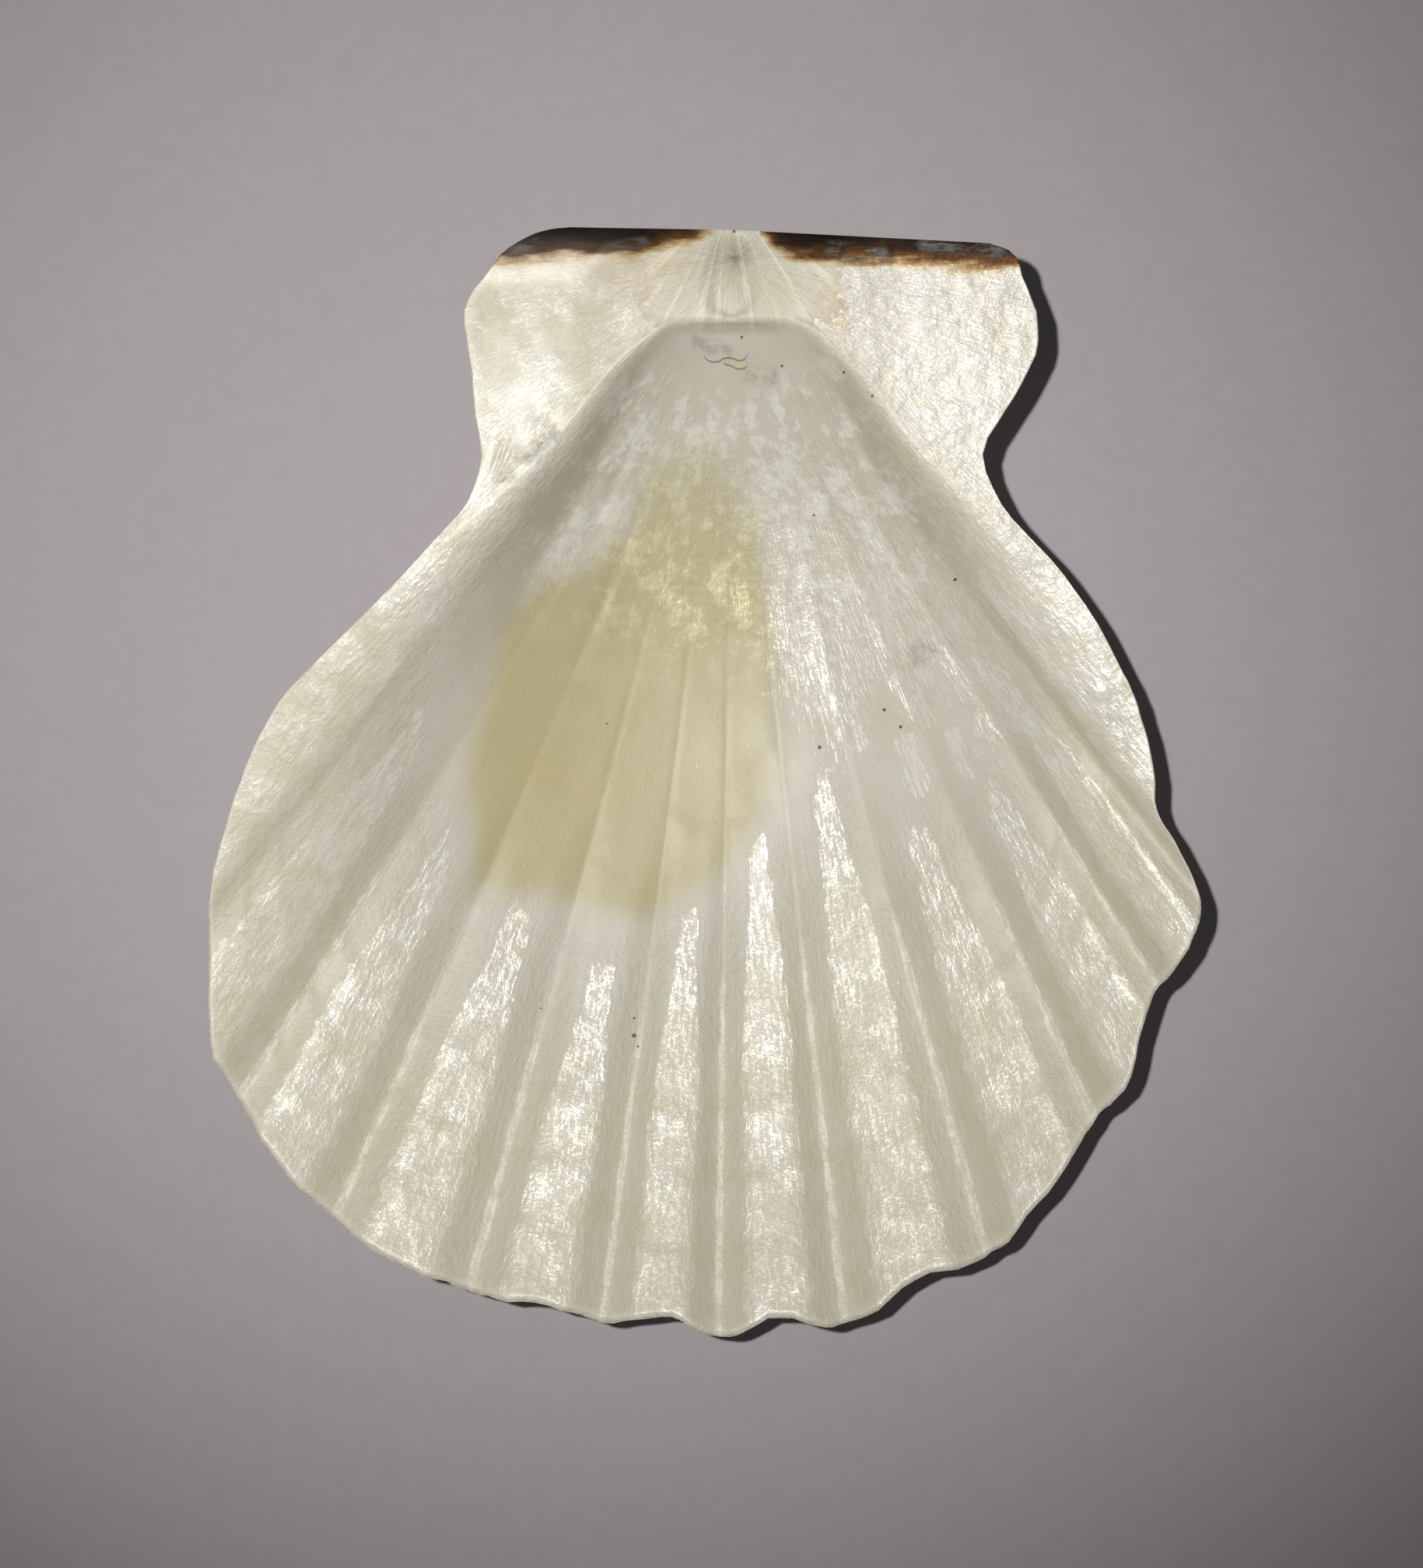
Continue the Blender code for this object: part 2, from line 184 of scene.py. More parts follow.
SCALE_WANDER = 1.2  # in scale lengths
SCALE_BETWEEN_RIBS = 0.35  # height between the ribs, of that on them
BACK_ROUGHENS = (2.0, 8.0)  # distance from the beak
# Chipped or frayed places: across, up and reach in beak coordinates.
WORN_SPOTS = [
    (-13.2, -12.6, 1.0), (-14.6, -13.4, 1.0), (-16.4, -14.3, 1.0), (26.2, -31.0, 1.2), (27.4, -33.0, 1.2),
    (28.0, -29.6, 0.8)]


def smoothstep(low, high, value):
    """Rise smoothly from 0 at low to 1 at high: 3 t squared less 2 t cubed."""
    t = np.clip((value - low) / (high - low), 0.0, 1.0)
    return t * t * (3.0 - 2.0 * t)


def lattice_noise(u, v, seed):
    """Smooth noise from 0 to 1 with one value per unit cell, blended across each cell."""
    table = np.random.default_rng(seed).random((256, 256))
    i, j = np.floor(u).astype(int), np.floor(v).astype(int)
    s, t = smoothstep(0.0, 1.0, u - i), smoothstep(0.0, 1.0, v - j)
    low = table[i % 256, j % 256] * (1 - s) + table[(i + 1) % 256, j % 256] * s
    high = table[i % 256, (j + 1) % 256] * (1 - s) + table[(i + 1) % 256, (j + 1) % 256] * s
    return low * (1 - t) + high * t


def smooth_curve(points, steps):
    """Catmull-Rom curve through the points, as a dense polyline."""
    p = np.array(points)
    p = np.vstack([2 * p[0] - p[1], p, 2 * p[-1] - p[-2]])
    before, here, after, beyond = p[:-3], p[1:-2], p[2:-1], p[3:]
    t = np.linspace(0.0, 1.0, steps, endpoint=False)[None, :, None]
    linear = (after - before)[:, None]
    square = (2 * before - 5 * here + 4 * after - beyond)[:, None]
    cube = (beyond - before + 3 * (here - after))[:, None]
    spans = here[:, None] + 0.5 * (linear * t + square * t ** 2 + cube * t ** 3)
    return np.vstack([spans.reshape(-1, 2), p[-2:-1]])


def angle_from_axis(x, y):
    """Angle at the beak in degrees, 0 straight down the disc, positive to the right."""
    return np.degrees(np.arctan2(x, -y))


def rib_phase(angle):
    """Whole numbers on the ribs, halves between them."""
    first = RIB_ANGLES[0] - RIB_PITCH_AT_ENDS
    last = RIB_ANGLES[-1] + RIB_PITCH_AT_ENDS
    return np.interp(angle, (first, *RIB_ANGLES, last), np.arange(-1, len(RIB_ANGLES) + 1))


def rib_fade(angle):
    """1 where the disc is ribbed, 0 beyond the outermost ribs."""
    return smoothstep(*RIBS_FADE_LEFT, angle) * (1.0 - smoothstep(*RIBS_FADE_RIGHT, angle))


def rib_profile(angle):
    """Cosine-squared bell on each rib of the back, from 1 on its crest to 0 beside it."""
    phase = rib_phase(angle)
    off = np.abs(phase - np.round(phase)) / RIB_HALF_WIDTH
    return np.cos(0.5 * np.pi * np.clip(off, 0.0, 1.0)) ** 2 * rib_fade(angle)


def groove_profile(angle, crispness):
    """Groove seen inside: a bell where crispness is 0, straight sides and a round floor at 1."""
    phase = rib_phase(angle)
    off = np.clip(np.abs(phase - np.round(phase)) / GROOVE_HALF_WIDTH, 0.0, 1.0)
    bell = np.cos(0.5 * np.pi * off) ** 2
    edge = np.sqrt(1.0 + GROOVE_FLOOR ** 2)
    sides = (edge - np.sqrt(off ** 2 + GROOVE_FLOOR ** 2)) / (edge - GROOVE_FLOOR)
    return (bell * (1.0 - crispness) + sides * crispness) * rib_fade(angle)


def form_radius(angle):
    """Radius of the disc's smooth margin at each angle: one power curve to each side."""
    left = 1.0 - (np.abs(angle) / FORM_LEFT[0]) ** FORM_LEFT[1]
    right = 1.0 - (np.abs(angle) / FORM_RIGHT[0]) ** FORM_RIGHT[1]
    return FORM_RADIUS * np.maximum(np.where(angle < 0.0, left, right), FORM_LEAST)


def flank_splay(r):
    """Degrees by which the flank leaves its straight course close to the hinge."""
    return FLANK_SPLAY * (1.0 - smoothstep(*SPLAY_ENDS, r)) * smoothstep(*SPLAY_BEGINS, r)


def disc_fields(x, y):
    """Angle at the beak, distance from the beak and growth fraction."""
    angle = angle_from_axis(x, y)
    r = np.hypot(x, y)
    growth = np.clip(r / form_radius(angle), *GROWTH_LIMITS)
    return angle, r, growth


def disc_share(angle, r, offset):
    """1 on the disc, 0 on the ears, with the flank between them."""
    middle = FLANK_ANGLE + offset + flank_splay(r)
    half = FLANK_HALF_WIDTH + FLANK_SOFTENING * smoothstep(*FLANK_SOFTENS, r)
    return 1.0 - smoothstep(middle - half, middle + half, np.abs(angle))


def bowl_depth(angle, r, growth):
    """Depth = arch * r * sin(curl * ln(1 / growth)) + wall: the surface curls as it grows."""
    arch = 1.0 - ARCH_DROP * np.minimum(np.abs(angle) / FLANK_ANGLE, ARCH_LIMIT) ** ARCH_POWER
    return arch * r * np.sin(CURL * np.log(1.0 / growth)) + WALL_MARGIN


def margin_rays(frill):
    """Where the rays end: the smooth outline, pushed out on the ribs and finely frilled."""
    curve = smooth_curve(OUTLINE, CURVE_STEPS)
    angle = angle_from_axis(curve[:, 0], curve[:, 1])
    radius = np.hypot(curve[:, 0], curve[:, 1])
    lobes = np.cos(2 * np.pi * rib_phase(angle)) * np.exp(-(angle / LOBE_SPREAD) ** 2)
    curve = curve * (1.0 + LOBE_HEIGHT * lobes / radius)[:, None]
    length = np.concatenate([[0.0], np.cumsum(np.hypot(*np.diff(curve, axis=0).T))])
    last = length[-1]
    ear_left = (len(EAR_LEFT) - 1) * CURVE_STEPS
    ear_right = len(curve) - 1 - ear_left
    ribs = np.arange(len(RIB_ANGLES))
    phase = np.linspace(ribs[0], ribs[-1], RAYS_PER_RIB * (len(ribs) - 1) + 1)
    phase = phase - RAY_CROWDING * np.sin(2 * np.pi * phase) / (2 * np.pi)
    disc = np.interp(np.interp(phase, ribs, RIB_ANGLES), angle, length)
    crowded = np.linspace(0.0, 1.0, EAR_RAYS, endpoint=False) ** EAR_CROWDING
    stops = np.concatenate([
        length[ear_left] * crowded,
        np.linspace(length[ear_left], disc[0], SHOULDER_RAYS, endpoint=False),
        disc,
        np.linspace(length[ear_right], disc[-1], SHOULDER_RAYS, endpoint=False)[::-1],
        (last - (last - length[ear_right]) * crowded)[::-1]])
    margin = np.stack([np.interp(stops, length, curve[:, k]) for k in (0, 1)], axis=-1)
    rough = sum(share * lattice_noise(stops / cell, 0 * stops, seed) for cell, share, seed in FRILL_WAVES)
    ends = smoothstep(0.0, FRILL_ENDS, stops) * (1.0 - smoothstep(last - FRILL_ENDS, last, stops))
    return margin * (1.0 + frill * (rough - FRILL_MEAN) * ends / np.hypot(*margin.T))[:, None]


def fan_plan(frill):
    """Plan positions, rays by rows: hinge rays start at the pole, disc rays swing to the beak."""
    margin = margin_rays(frill)
    pole = np.array(HINGE_MIDDLE)
    reach = np.hypot(*(margin - pole).T)
    down = np.maximum((pole[1] - margin[:, 1]) / reach, RAY_LEAST)
    ledge = np.minimum(LEDGE_DROP / (reach * down), LEDGE_ROW_LIMIT)
    inner = ledge[:, None] * np.linspace(0.0, LEDGE_ROWS_PAST, HINGE_ROWS + 1)[None, 1:]
    along = np.linspace(0.0, 1.0, DISC_ROWS + 1)[None, 1:]
    outer = inner[:, -1:] + (1.0 - inner[:, -1:]) * along
    v = np.hstack([np.zeros((len(margin), 1)), inner, outer])[..., None]
    shift = smoothstep(0.0, SHIFT_REACH, v * np.hypot(*margin.T)[:, None, None])
    on_disc = smoothstep(*RAY_ON_DISC, down)[:, None, None]
    keep = (1.0 - on_disc) * (1.0 - v) + on_disc * (1.0 - shift)
    plan = pole * keep + margin[:, None, :] * v
    x, y = plan[..., 0], plan[..., 1]
    angle, r = angle_from_axis(x, y), np.hypot(x, y)
    sets_in, full, ends = SWING_SPAN
    near = smoothstep(sets_in, FLANK_ANGLE, np.abs(angle)) * (1.0 - smoothstep(full, ends, np.abs(angle)))
    turned = np.radians(angle + np.sign(angle) * near * flank_splay(r))
    return np.stack([r * np.sin(turned), -r * np.cos(turned)], axis=-1)


def ligament_pit(x, below_hinge, depth):
    """Bell-shaped pit in the hinge plate: a narrow neck and a round belly."""
    along = np.clip(below_hinge / PIT_LENGTH, 0.0, 1.0)
    half = PIT_NECK + (PIT_BELLY - PIT_NECK) * smoothstep(0.0, PIT_ROUND_FROM, along)
    bottom = np.clip((along - PIT_ROUND_FROM) / (1.0 - PIT_ROUND_FROM), 0.0, PIT_ROUND_TO)
    half = half * np.sqrt(1.0 - bottom ** 2)
    inside = 1.0 - smoothstep(*PIT_EDGE, np.abs(x - PIT_MIDDLE) / half)
    return depth * inside * smoothstep(0.0, PIT_NECK_FADE, along) * (below_hinge < PIT_LENGTH)


def inside_depth(x, y, sizes):
    """Depth of the hollow side, without its fine relief."""
    angle, r, growth = disc_fields(x, y)
    thinning = smoothstep(WALL_THINS_FROM, 1.0, growth)
    wall = WALL_DISC + (WALL_MARGIN - WALL_DISC) * thinning
    wall = wall + WALL_UMBO_EXTRA * np.exp(-(r / WALL_UMBO_REACH) ** 2)
    crisp = smoothstep(*GROOVES_CRISPEN, growth)
    grooves = sizes.groove_depth / MM * smoothstep(GROOVES_BEGIN, 1.0, growth) * groove_profile(angle, crisp)
    disc = bowl_depth(angle, r, growth) - wall + grooves
    below_hinge = HINGE_MIDDLE[1] - y
    ear = sizes.ear_dish / MM * smoothstep(0.0, EAR_DISH_BELOW, below_hinge)
    ear = ear * smoothstep(*EAR_DISH_SIDE, np.abs(x))
    plate = 1.0 - smoothstep(-LEDGE_SOFTNESS, LEDGE_SOFTNESS, below_hinge - LEDGE_DROP)
    end = np.abs(x - LEDGE_MIDDLE) - LEDGE_HALF_LENGTH
    plate = plate * (1.0 - smoothstep(0.0, LEDGE_END, end))
    share = disc_share(angle, r, 0.0) * (1.0 - plate)
    return share * disc + (1.0 - share) * ear + ligament_pit(x, below_hinge, sizes.pit_depth / MM)


def worn(x, y):
    """1 in the middle of each chipped or frayed place, 0 past its reach."""
    spots = [np.exp(-((x - at_x) ** 2 + (y - at_y) ** 2) / reach ** 2) for at_x, at_y, reach in WORN_SPOTS]
    return np.max(spots, axis=0)


def even_noise(x, y, wave):
    """Noise of one cell size, either side of 0: height * (noise less one half)."""
    cell, height, seed = wave
    return height * (lattice_noise(x / cell, y / cell, seed) - 0.5)


def inside_relief(x, y):
    """Fine relief of the hollow side, positive upwards: swells, growth steps and thin creases."""
    angle, r, growth = disc_fields(x, y)
    swells = sum(even_noise(x, y, wave) for wave in SWELLS) * smoothstep(*SWELLS_BEGIN, r)
    wander = STEP_WANDER * (lattice_noise(angle / 4.0, 0 * r, 24) - 0.5)
    steps = 0.0
    for at, height in GROWTH_STEPS:
        rise = growth + wander - at
        fade = np.exp(-np.maximum(rise, 0.0) / STEP_FADE)
        steps = steps + height * smoothstep(-STEP_RUN, STEP_RUN, rise) * fade
    phase = rib_phase(angle)
    off = np.abs(phase - np.round(phase))
    crease = np.exp(-(off * r * RIB_PITCH / CREASE_HALF_WIDTH) ** 2) * rib_fade(angle)
    crease = -CREASE_DEPTH * crease * smoothstep(*CREASES_BEGIN, r) * (1.0 - smoothstep(*CREASES_END, r))
    folded = np.maximum(smoothstep(*FOLDS_RIGHT, angle), smoothstep(*FOLDS_LEFT, angle))
    fade_from = FOLDS_END[0] + FOLDS_LONGER_RIGHT * (angle > 0.0)
    folds = smoothstep(*FOLDS_BEGIN, r) * (1.0 - smoothstep(fade_from, FOLDS_END[1], r))
    crease = crease - FOLD_DEPTH * groove_profile(angle, 0.0) * folded * folds
    share = disc_share(angle, r, 0.0)
    lines = even_noise(0 * x, r, EAR_LINES) * (1.0 - share) * smoothstep(*EAR_DISH_SIDE, np.abs(x))
    crust = worn(x, y) * (even_noise(x, y, CRUST) + CRUST_RAISED)
    steps = share * steps * smoothstep(*STEPS_BEGIN, growth)
    return swells + crust + steps + crease + lines


def back_depth(x, y, sizes):
    """Depth of the convex back: bowl, ribs, riblets on them and overlapping growth scales."""
    angle, r, growth = disc_fields(x, y)
    share = disc_share(angle, r, FLANK_BACK_OFFSET)
    rise = np.maximum(smoothstep(0.0, 1.0, growth), RIBS_AT_BEAK * smoothstep(0.03, 0.25, growth))
    ribs = sizes.rib_height / MM * rise * rib_profile(angle)
    disc = bowl_depth(angle, r, growth) + ribs
    ear = WALL_EAR + EAR_BACK_SHARE * sizes.ear_dish / MM
    return share * disc + (1.0 - share) * ear


def back_relief(x, y):
    """Fine relief of the back, positive outwards: riblets and saw-toothed growth scales."""
    angle, r, growth = disc_fields(x, y)
    phase = rib_phase(angle)
    riblets = RIBLET_HEIGHT * np.cos(2 * np.pi * phase * RIBLETS_PER_RIB) * smoothstep(*RIBLETS_BEGIN, growth)
    wander = SCALE_WANDER * lattice_noise(angle / 3.0, r / 12.0, 31)
    tooth = (r / SCALE_LENGTH + wander) % 1.0
    on_ribs = SCALE_BETWEEN_RIBS + (1.0 - SCALE_BETWEEN_RIBS) * rib_profile(angle)
    scales = SCALE_HEIGHT * tooth ** 2 * smoothstep(*SCALES_BEGIN, growth) * on_ribs
    return (riblets + scales + even_noise(x, y, BACK_GRAIN)) * smoothstep(*BACK_ROUGHENS, r)


def shell_surfaces(x, y, sizes):
    """Heights of the hollow side and of the back above the plane the valve rests on."""
    plane = MARGIN_PLANE_SLOPE * y
    smooth_inside = inside_depth(x, y, sizes)
    smooth_back = back_depth(x, y, sizes)
    floor = (plane - smooth_back).min() + WORN_FLAT
    inside = smooth_inside - inside_relief(x, y)
    back = np.maximum(smooth_back + back_relief(x, y), inside + WALL_LEAST)
    return plane - inside - floor, np.maximum(plane - back, floor) - floor


def fan_faces(rays, rows):
    """Faces of one fan and the loop of its rim. Vertex 0 is the pole, then each ray's rows."""
    ray, row = np.meshgrid(np.arange(rays), np.arange(1, rows), indexing="ij")
    number = 1 + ray * (rows - 1) + row - 1
    inner, outer = number[:-1, :-1], number[:-1, 1:]
    quads = np.stack([inner, outer, number[1:, 1:], number[1:, :-1]], axis=-1).reshape(-1, 4)
    middle = np.stack([np.zeros(rays - 1, int), number[:-1, 0], number[1:, 0]], axis=-1)
    rim = np.concatenate([[0], number[0], number[1:, -1], number[-1, -2::-1]])
    return middle, quads, rim


def stroke_mask(x, y, marks, softness):
    """1 on straight strokes given by start, end and half width, fading over the softness."""
    nearest = np.full(x.shape, FAR)
    for start, end, half in marks:
        run = np.subtract(end, start)
        along = np.clip(((x - start[0]) * run[0] + (y - start[1]) * run[1]) / np.dot(run, run), 0.0, 1.0)
        gap = np.hypot(x - start[0] - along * run[0], y - start[1] - along * run[1]) - half
        nearest = np.minimum(nearest, gap)
    return 1.0 - smoothstep(0.0, softness, nearest)


def polygon_distance(x, y, corners):
    """Signed distance to a closed outline in the plan, negative inside it."""
    a = np.array(corners)
    b = np.roll(a, -1, axis=0)
    px, py = x[:, None] - a[:, 0], y[:, None] - a[:, 1]
    ex, ey = (b - a).T
    t = np.clip((px * ex + py * ey) / (ex * ex + ey * ey), 0.0, 1.0)
    distance = np.hypot(px - ex * t, py - ey * t).min(axis=1)
    crosses = (a[:, 1] > y[:, None]) != (b[:, 1] > y[:, None])
    at = a[:, 0] + ex * py / np.where(ey == 0.0, 1.0, ey)
    inside = (crosses & (x[:, None] < at)).sum(axis=1) % 2 == 1
    return np.where(inside, -distance, distance)


# Outlines in the row frame: the honey-yellow patch, the muscle scar and the dark hinge bands.
YELLOW_PATCH = [
    (-14.4, 13.6), (-11.4, 15.8), (-8.4, 17.2), (-5.4, 19.8), (-4.4, 23.4), (-2.0, 25.4), (0.6, 25.4),
    (2.6, 23.2), (3.9, 20.3), (4.7, 18.0), (5.1, 12.5), (5.4, 6.6), (5.5, 0.6), (3.0, -4.4), (0.2, -7.2),
    (-4.5, -9.8), (-11.6, -7.9), (-17.4, -7.4), (-17.3, 4.1)]
MUSCLE_SCAR = [
    (-1.0, 25.0), (7.0, 25.5), (13.5, 21.0), (17.5, 17.5), (20.5, 12.0), (23.5, 4.8), (20.5, 3.2),
    (18.0, 8.0), (15.5, 5.0), (14.0, 9.0), (12.0, 7.0), (10.2, 1.5), (9.0, 5.0), (7.4, 6.4), (5.4, 8.0),
    (5.2, 17.0), (1.0, 20.0)]
# Lower border of the hinge's colour, across and up; it breaks off beside the ligament pit.
BAND_BORDER = [
    (-15.0, 36.7), (-11.2, 36.9), (-9.6, 37.1), (-5.9, 37.1), (-4.5, 37.2), (-2.8, 37.7), (-0.6, 38.2),
    (0.9, 39.1), (1.2, 41.5), (3.6, 41.5), (4.0, 38.9), (5.2, 37.6), (6.5, 36.9), (8.9, 36.7),
    (13.4, 36.7), (16.3, 36.5), (20.6, 36.3), (22.1, 36.6)]
# Radius in millimetres at which the bright pearl begins, by angle at the beak.
PEARL_BEGINS = [
    (-60.0, 15.0), (-48.0, 24.0), (-42.0, 30.0), (-35.0, 40.0), (-31.3, 44.4), (-27.9, 45.8),
    (-25.4, 49.4), (-22.5, 51.5), (-20.8, 49.1), (-19.5, 48.7), (-15.9, 50.8), (-13.1, 52.3),
    (-11.0, 51.5), (-8.9, 51.6), (-5.3, 48.0), (-3.7, 46.7), (-2.1, 48.4), (2.1, 41.8), (4.3, 40.4),
    (6.3, 43.6), (10.4, 36.7), (13.5, 37.1), (14.6, 43.8), (18.5, 42.5), (20.9, 42.8), (23.7, 43.9),
    (27.0, 41.5), (31.0, 38.6), (36.0, 30.0), (48.0, 22.0), (60.0, 12.0)]
# Dark specks: place across and up in the row frame, and radius, in millimetres.
SPECKS = [
    (-5.2, -18.4, 0.13), (-4.9, -19.2, 0.07), (-5.2, -17.1, 0.06), (-12.2, -16.3, 0.05), (8.9, 3.4, 0.12),
    (13.7, 6.2, 0.10), (14.9, 4.9, 0.10), (18.4, 15.5, 0.09), (8.3, 20.7, 0.06), (-7.3, 5.2, 0.05),
    (5.7, 30.6, 0.06), (10.0, 29.7, 0.06), (12.0, 28.0, 0.07), (2.8, 32.4, 0.06)]
CRACK_LINES = [
    ((0.1, 3.2), (31.5, 30.95, 30.95, 31.17, 31.14, 31.0, 30.68)),
    ((1.6, 3.2), (30.80, 30.66, 30.50, 30.60))]
CRACK_FILL = [((1.7, 30.9), (2.9, 30.68), 0.12)]
GREY_SMEAR = [
    ((-0.5, 32.1), (1.8, 31.5), 0.15), ((3.3, 30.2), (5.1, 29.95), 0.2),
    ((16.0, 10.7), (16.1, 9.8), 0.25), ((16.2, 10.3), (17.0, 10.5), 0.15)]
HINGE_GAPS = [
    ((-6.8, 38.1), (-4.2, 38.5), 0.12), ((9.0, 38.1), (12.6, 37.7), 0.2),
    ((15.5, 38.3), (20.8, 38.0), 0.08), ((-13.2, 37.9), (-12.0, 38.3), 0.10)]
# Brushed glints on the muscle scar and round the beak, painted highlights: start, end and half width.
GLINTS = [
    ((5.5, 19.8), (5.9, 10.8), 0.3), ((7.8, 16.7), (8.9, 7.9), 0.35), ((9.7, 14.9), (10.5, 6.2), 0.25),
    ((12.5, 17.8), (14.2, 11.0), 0.6), ((14.8, 8.5), (16.5, 5.4), 0.35), ((17.4, 10.2), (20.8, 8.4), 0.3),
    ((20.6, 8.7), (22.4, 4.9), 0.6), ((15.3, 3.6), (16.2, 0.5), 0.4), ((18.5, 4.3), (19.5, 1.5), 0.15),
    ((10.3, 8.6), (12.1, 3.7), 0.15), ((-8.0, 22.4), (-10.8, 16.6), 0.35),
    ((-5.6, 21.4), (-7.8, 18.1), 0.3), ((-4.3, 23.8), (-4.2, 22.4), 0.1),
    ((-2.6, 25.0), (-3.0, 24.3), 0.15), ((-2.0, 22.9), (-1.6, 20.5), 0.15),
    ((-3.0, 19.8), (-2.9, 18.7), 0.1), ((-2.7, 15.7), (-2.7, 14.3), 0.15),
    ((2.7, 15.9), (2.9, 13.9), 0.3)]
HONEY_SPOT = [(-11.9, 1.4, 1.0)]
TAN_STAINS = [
    ((8.7, 35.3), (9.5, 33.0), 0.5), ((-6.0, 36.6), (-4.6, 34.9), 0.6), ((-3.5, 36.4), (-1.2, 37.0), 0.2)]
# Each mask of strokes, and how far its edges fade, in millimetres.
STROKES = {
    "glint": (GLINTS, 0.9), "tan": (TAN_STAINS, 1.2), "smear": (GREY_SMEAR, 0.55), "gap": (HINGE_GAPS, 0.5),
    "fill": (CRACK_FILL, 0.12)}

PIT_FAN_TOP = 4.5  # where the lines of the ligament pit meet, above the beak
FLANK_SHADE = 7.0  # half width in degrees of the pearl-less strip of painted shade on each flank
FLANK_SHADE_BEGINS, FLANK_SHADE_ENDS = (5.0, 11.0), (22.0, 36.0)  # distance from the beak
PLATE_SIDE = (5.2, 9.0)  # distances from its middle over which the hinge plate ends
FAR = 60.0  # farther than any mark reaches, in millimetres
FLOOR_HALF = 4.0  # half side of the floor, in metres
KEY_AT = (-17.0, 9.0, 190.0)  # where the key light hangs, in millimetres
KEY_AIM = (-10.0, 17.0, 0.0)
FILM_HEIGHT = 24.0
LENS = FILM_HEIGHT * 3043.0 / 2016.0  # focal length, from the height of the photo in pixels
CAMERA_OVER = (0.65, 0.60)  # what the camera hangs over, in millimetres
GLOW_RISES = (0.05, 0.18)  # heights in the sky, of 1, between which the surround brightens
GLOW_FADES = (0.50, 0.22)  # and between which it darkens again
DARKEST_SHARE = 0.05  # how bright it is overhead, of its brightest band
BACKDROP = 0.36  # how brightly the far floor and the lowest strip of sky glow
BACKDROP_ENDS = (0.04, 0.08)  # heights in the sky, of 1, between which that strip fades out
FLOOR_GLOWS = (80.0, 114.0)  # distance over which the floor starts to glow, in millimetres
FLOOR_PALES = (100.0, 320.0)  # distance over which the floor grows paler, in millimetres
KEY_RADIUS = 1.8  # radius of the key light, in millimetres
KEY_CONE = 70.0  # its cone, in degrees; it fades from the middle outwards

# Pearl: where its parts begin and end, by the value that each one follows.
TONGUE_EDGE = (-0.03, 0.04)  # width of a tongue less the place across it
ONSET_RAGGED = (3.0, 14.0)  # how ragged the onset is, in millimetres, on the disc and the ears
ONSET_EDGE = (-0.3, 0.4)
SIDES_BEGIN = (-2.0, 7.0)  # past the onset, where the grooves' sides lose their pearl and take painted shade
TIPS_SHINE = (12.0, 2.0)  # past the onset, where painted highlight makes the tips brightest
PEARL_DULLS = (12.0, 26.0)  # past the onset, where it grows duller
PEARL_DULL = 0.72
SCAR_EDGE = (0.2, 1.6)
SCAR_STRENGTH = 0.55
GLINT_EDGE = (0.40, 0.85)
FROST_BEGINS, FROST_ENDS = (7.0, 11.0), (31.0, 21.0)  # distance from the beak
FROST_EDGE = (0.48, 0.58)
CLOUD_EDGE, CLOUD_LEAST = (0.37, 0.66), 0.36
CRISP_EDGE, CRISP_LEAST = (0.46, 0.57), 0.20
SPARKLE_EDGE = (0.58, 0.72)
GROOVE_HIGHLIGHT_BEGINS, GROOVE_HIGHLIGHT_ENDS = (0.92, 0.965), (1.05, 0.97)  # place across a groove, for the painted highlight along its floor
GROOVE_HIGHLIGHT_FROM = (3.0, 9.0)  # past the onset of the pearl
FRINGE_BEGINS, FRINGE_ENDS = (-12.0, -1.0), (14.0, 3.0)  # the lilac fringe at the onset
FAR_EAR = (-20.0, -70.0)  # angles over which painted shade darkens the left ear
STAIN_EDGE = (-1.5, 1.5)  # of the yellow patch
STAIN_FULL = (12.0, 22.0)  # distance from the beak
MOTTLE_EDGE = (0.47, 0.60)  # of the mottling on the back

CRUST_GREY = (0.50, 0.50, 0.47)
TAN = (0.50, 0.38, 0.22)
SMEAR_GREY = (0.24, 0.24, 0.20)
SAND = (0.56, 0.47, 0.32)
CRACK_BROWN = (0.12, 0.10, 0.07)
SPECK_BLACK = (0.035, 0.03, 0.025)
PALE_RING = (0.78, 0.70, 0.60)
CHALK = (0.80, 0.76, 0.68)
RUBBED_RIM = (0.76, 0.73, 0.66)
# The hinge's colour by height over the band's lower border.
HINGE_TONES = (
    (0.0, (1.0, 1.0, 1.0)), (0.07, (0.92, 0.82, 0.64)), (0.16, (0.62, 0.43, 0.23)),
    (0.30, (0.24, 0.12, 0.05)), (0.50, (0.06, 0.03, 0.02)), (0.85, (0.010, 0.008, 0.008)))


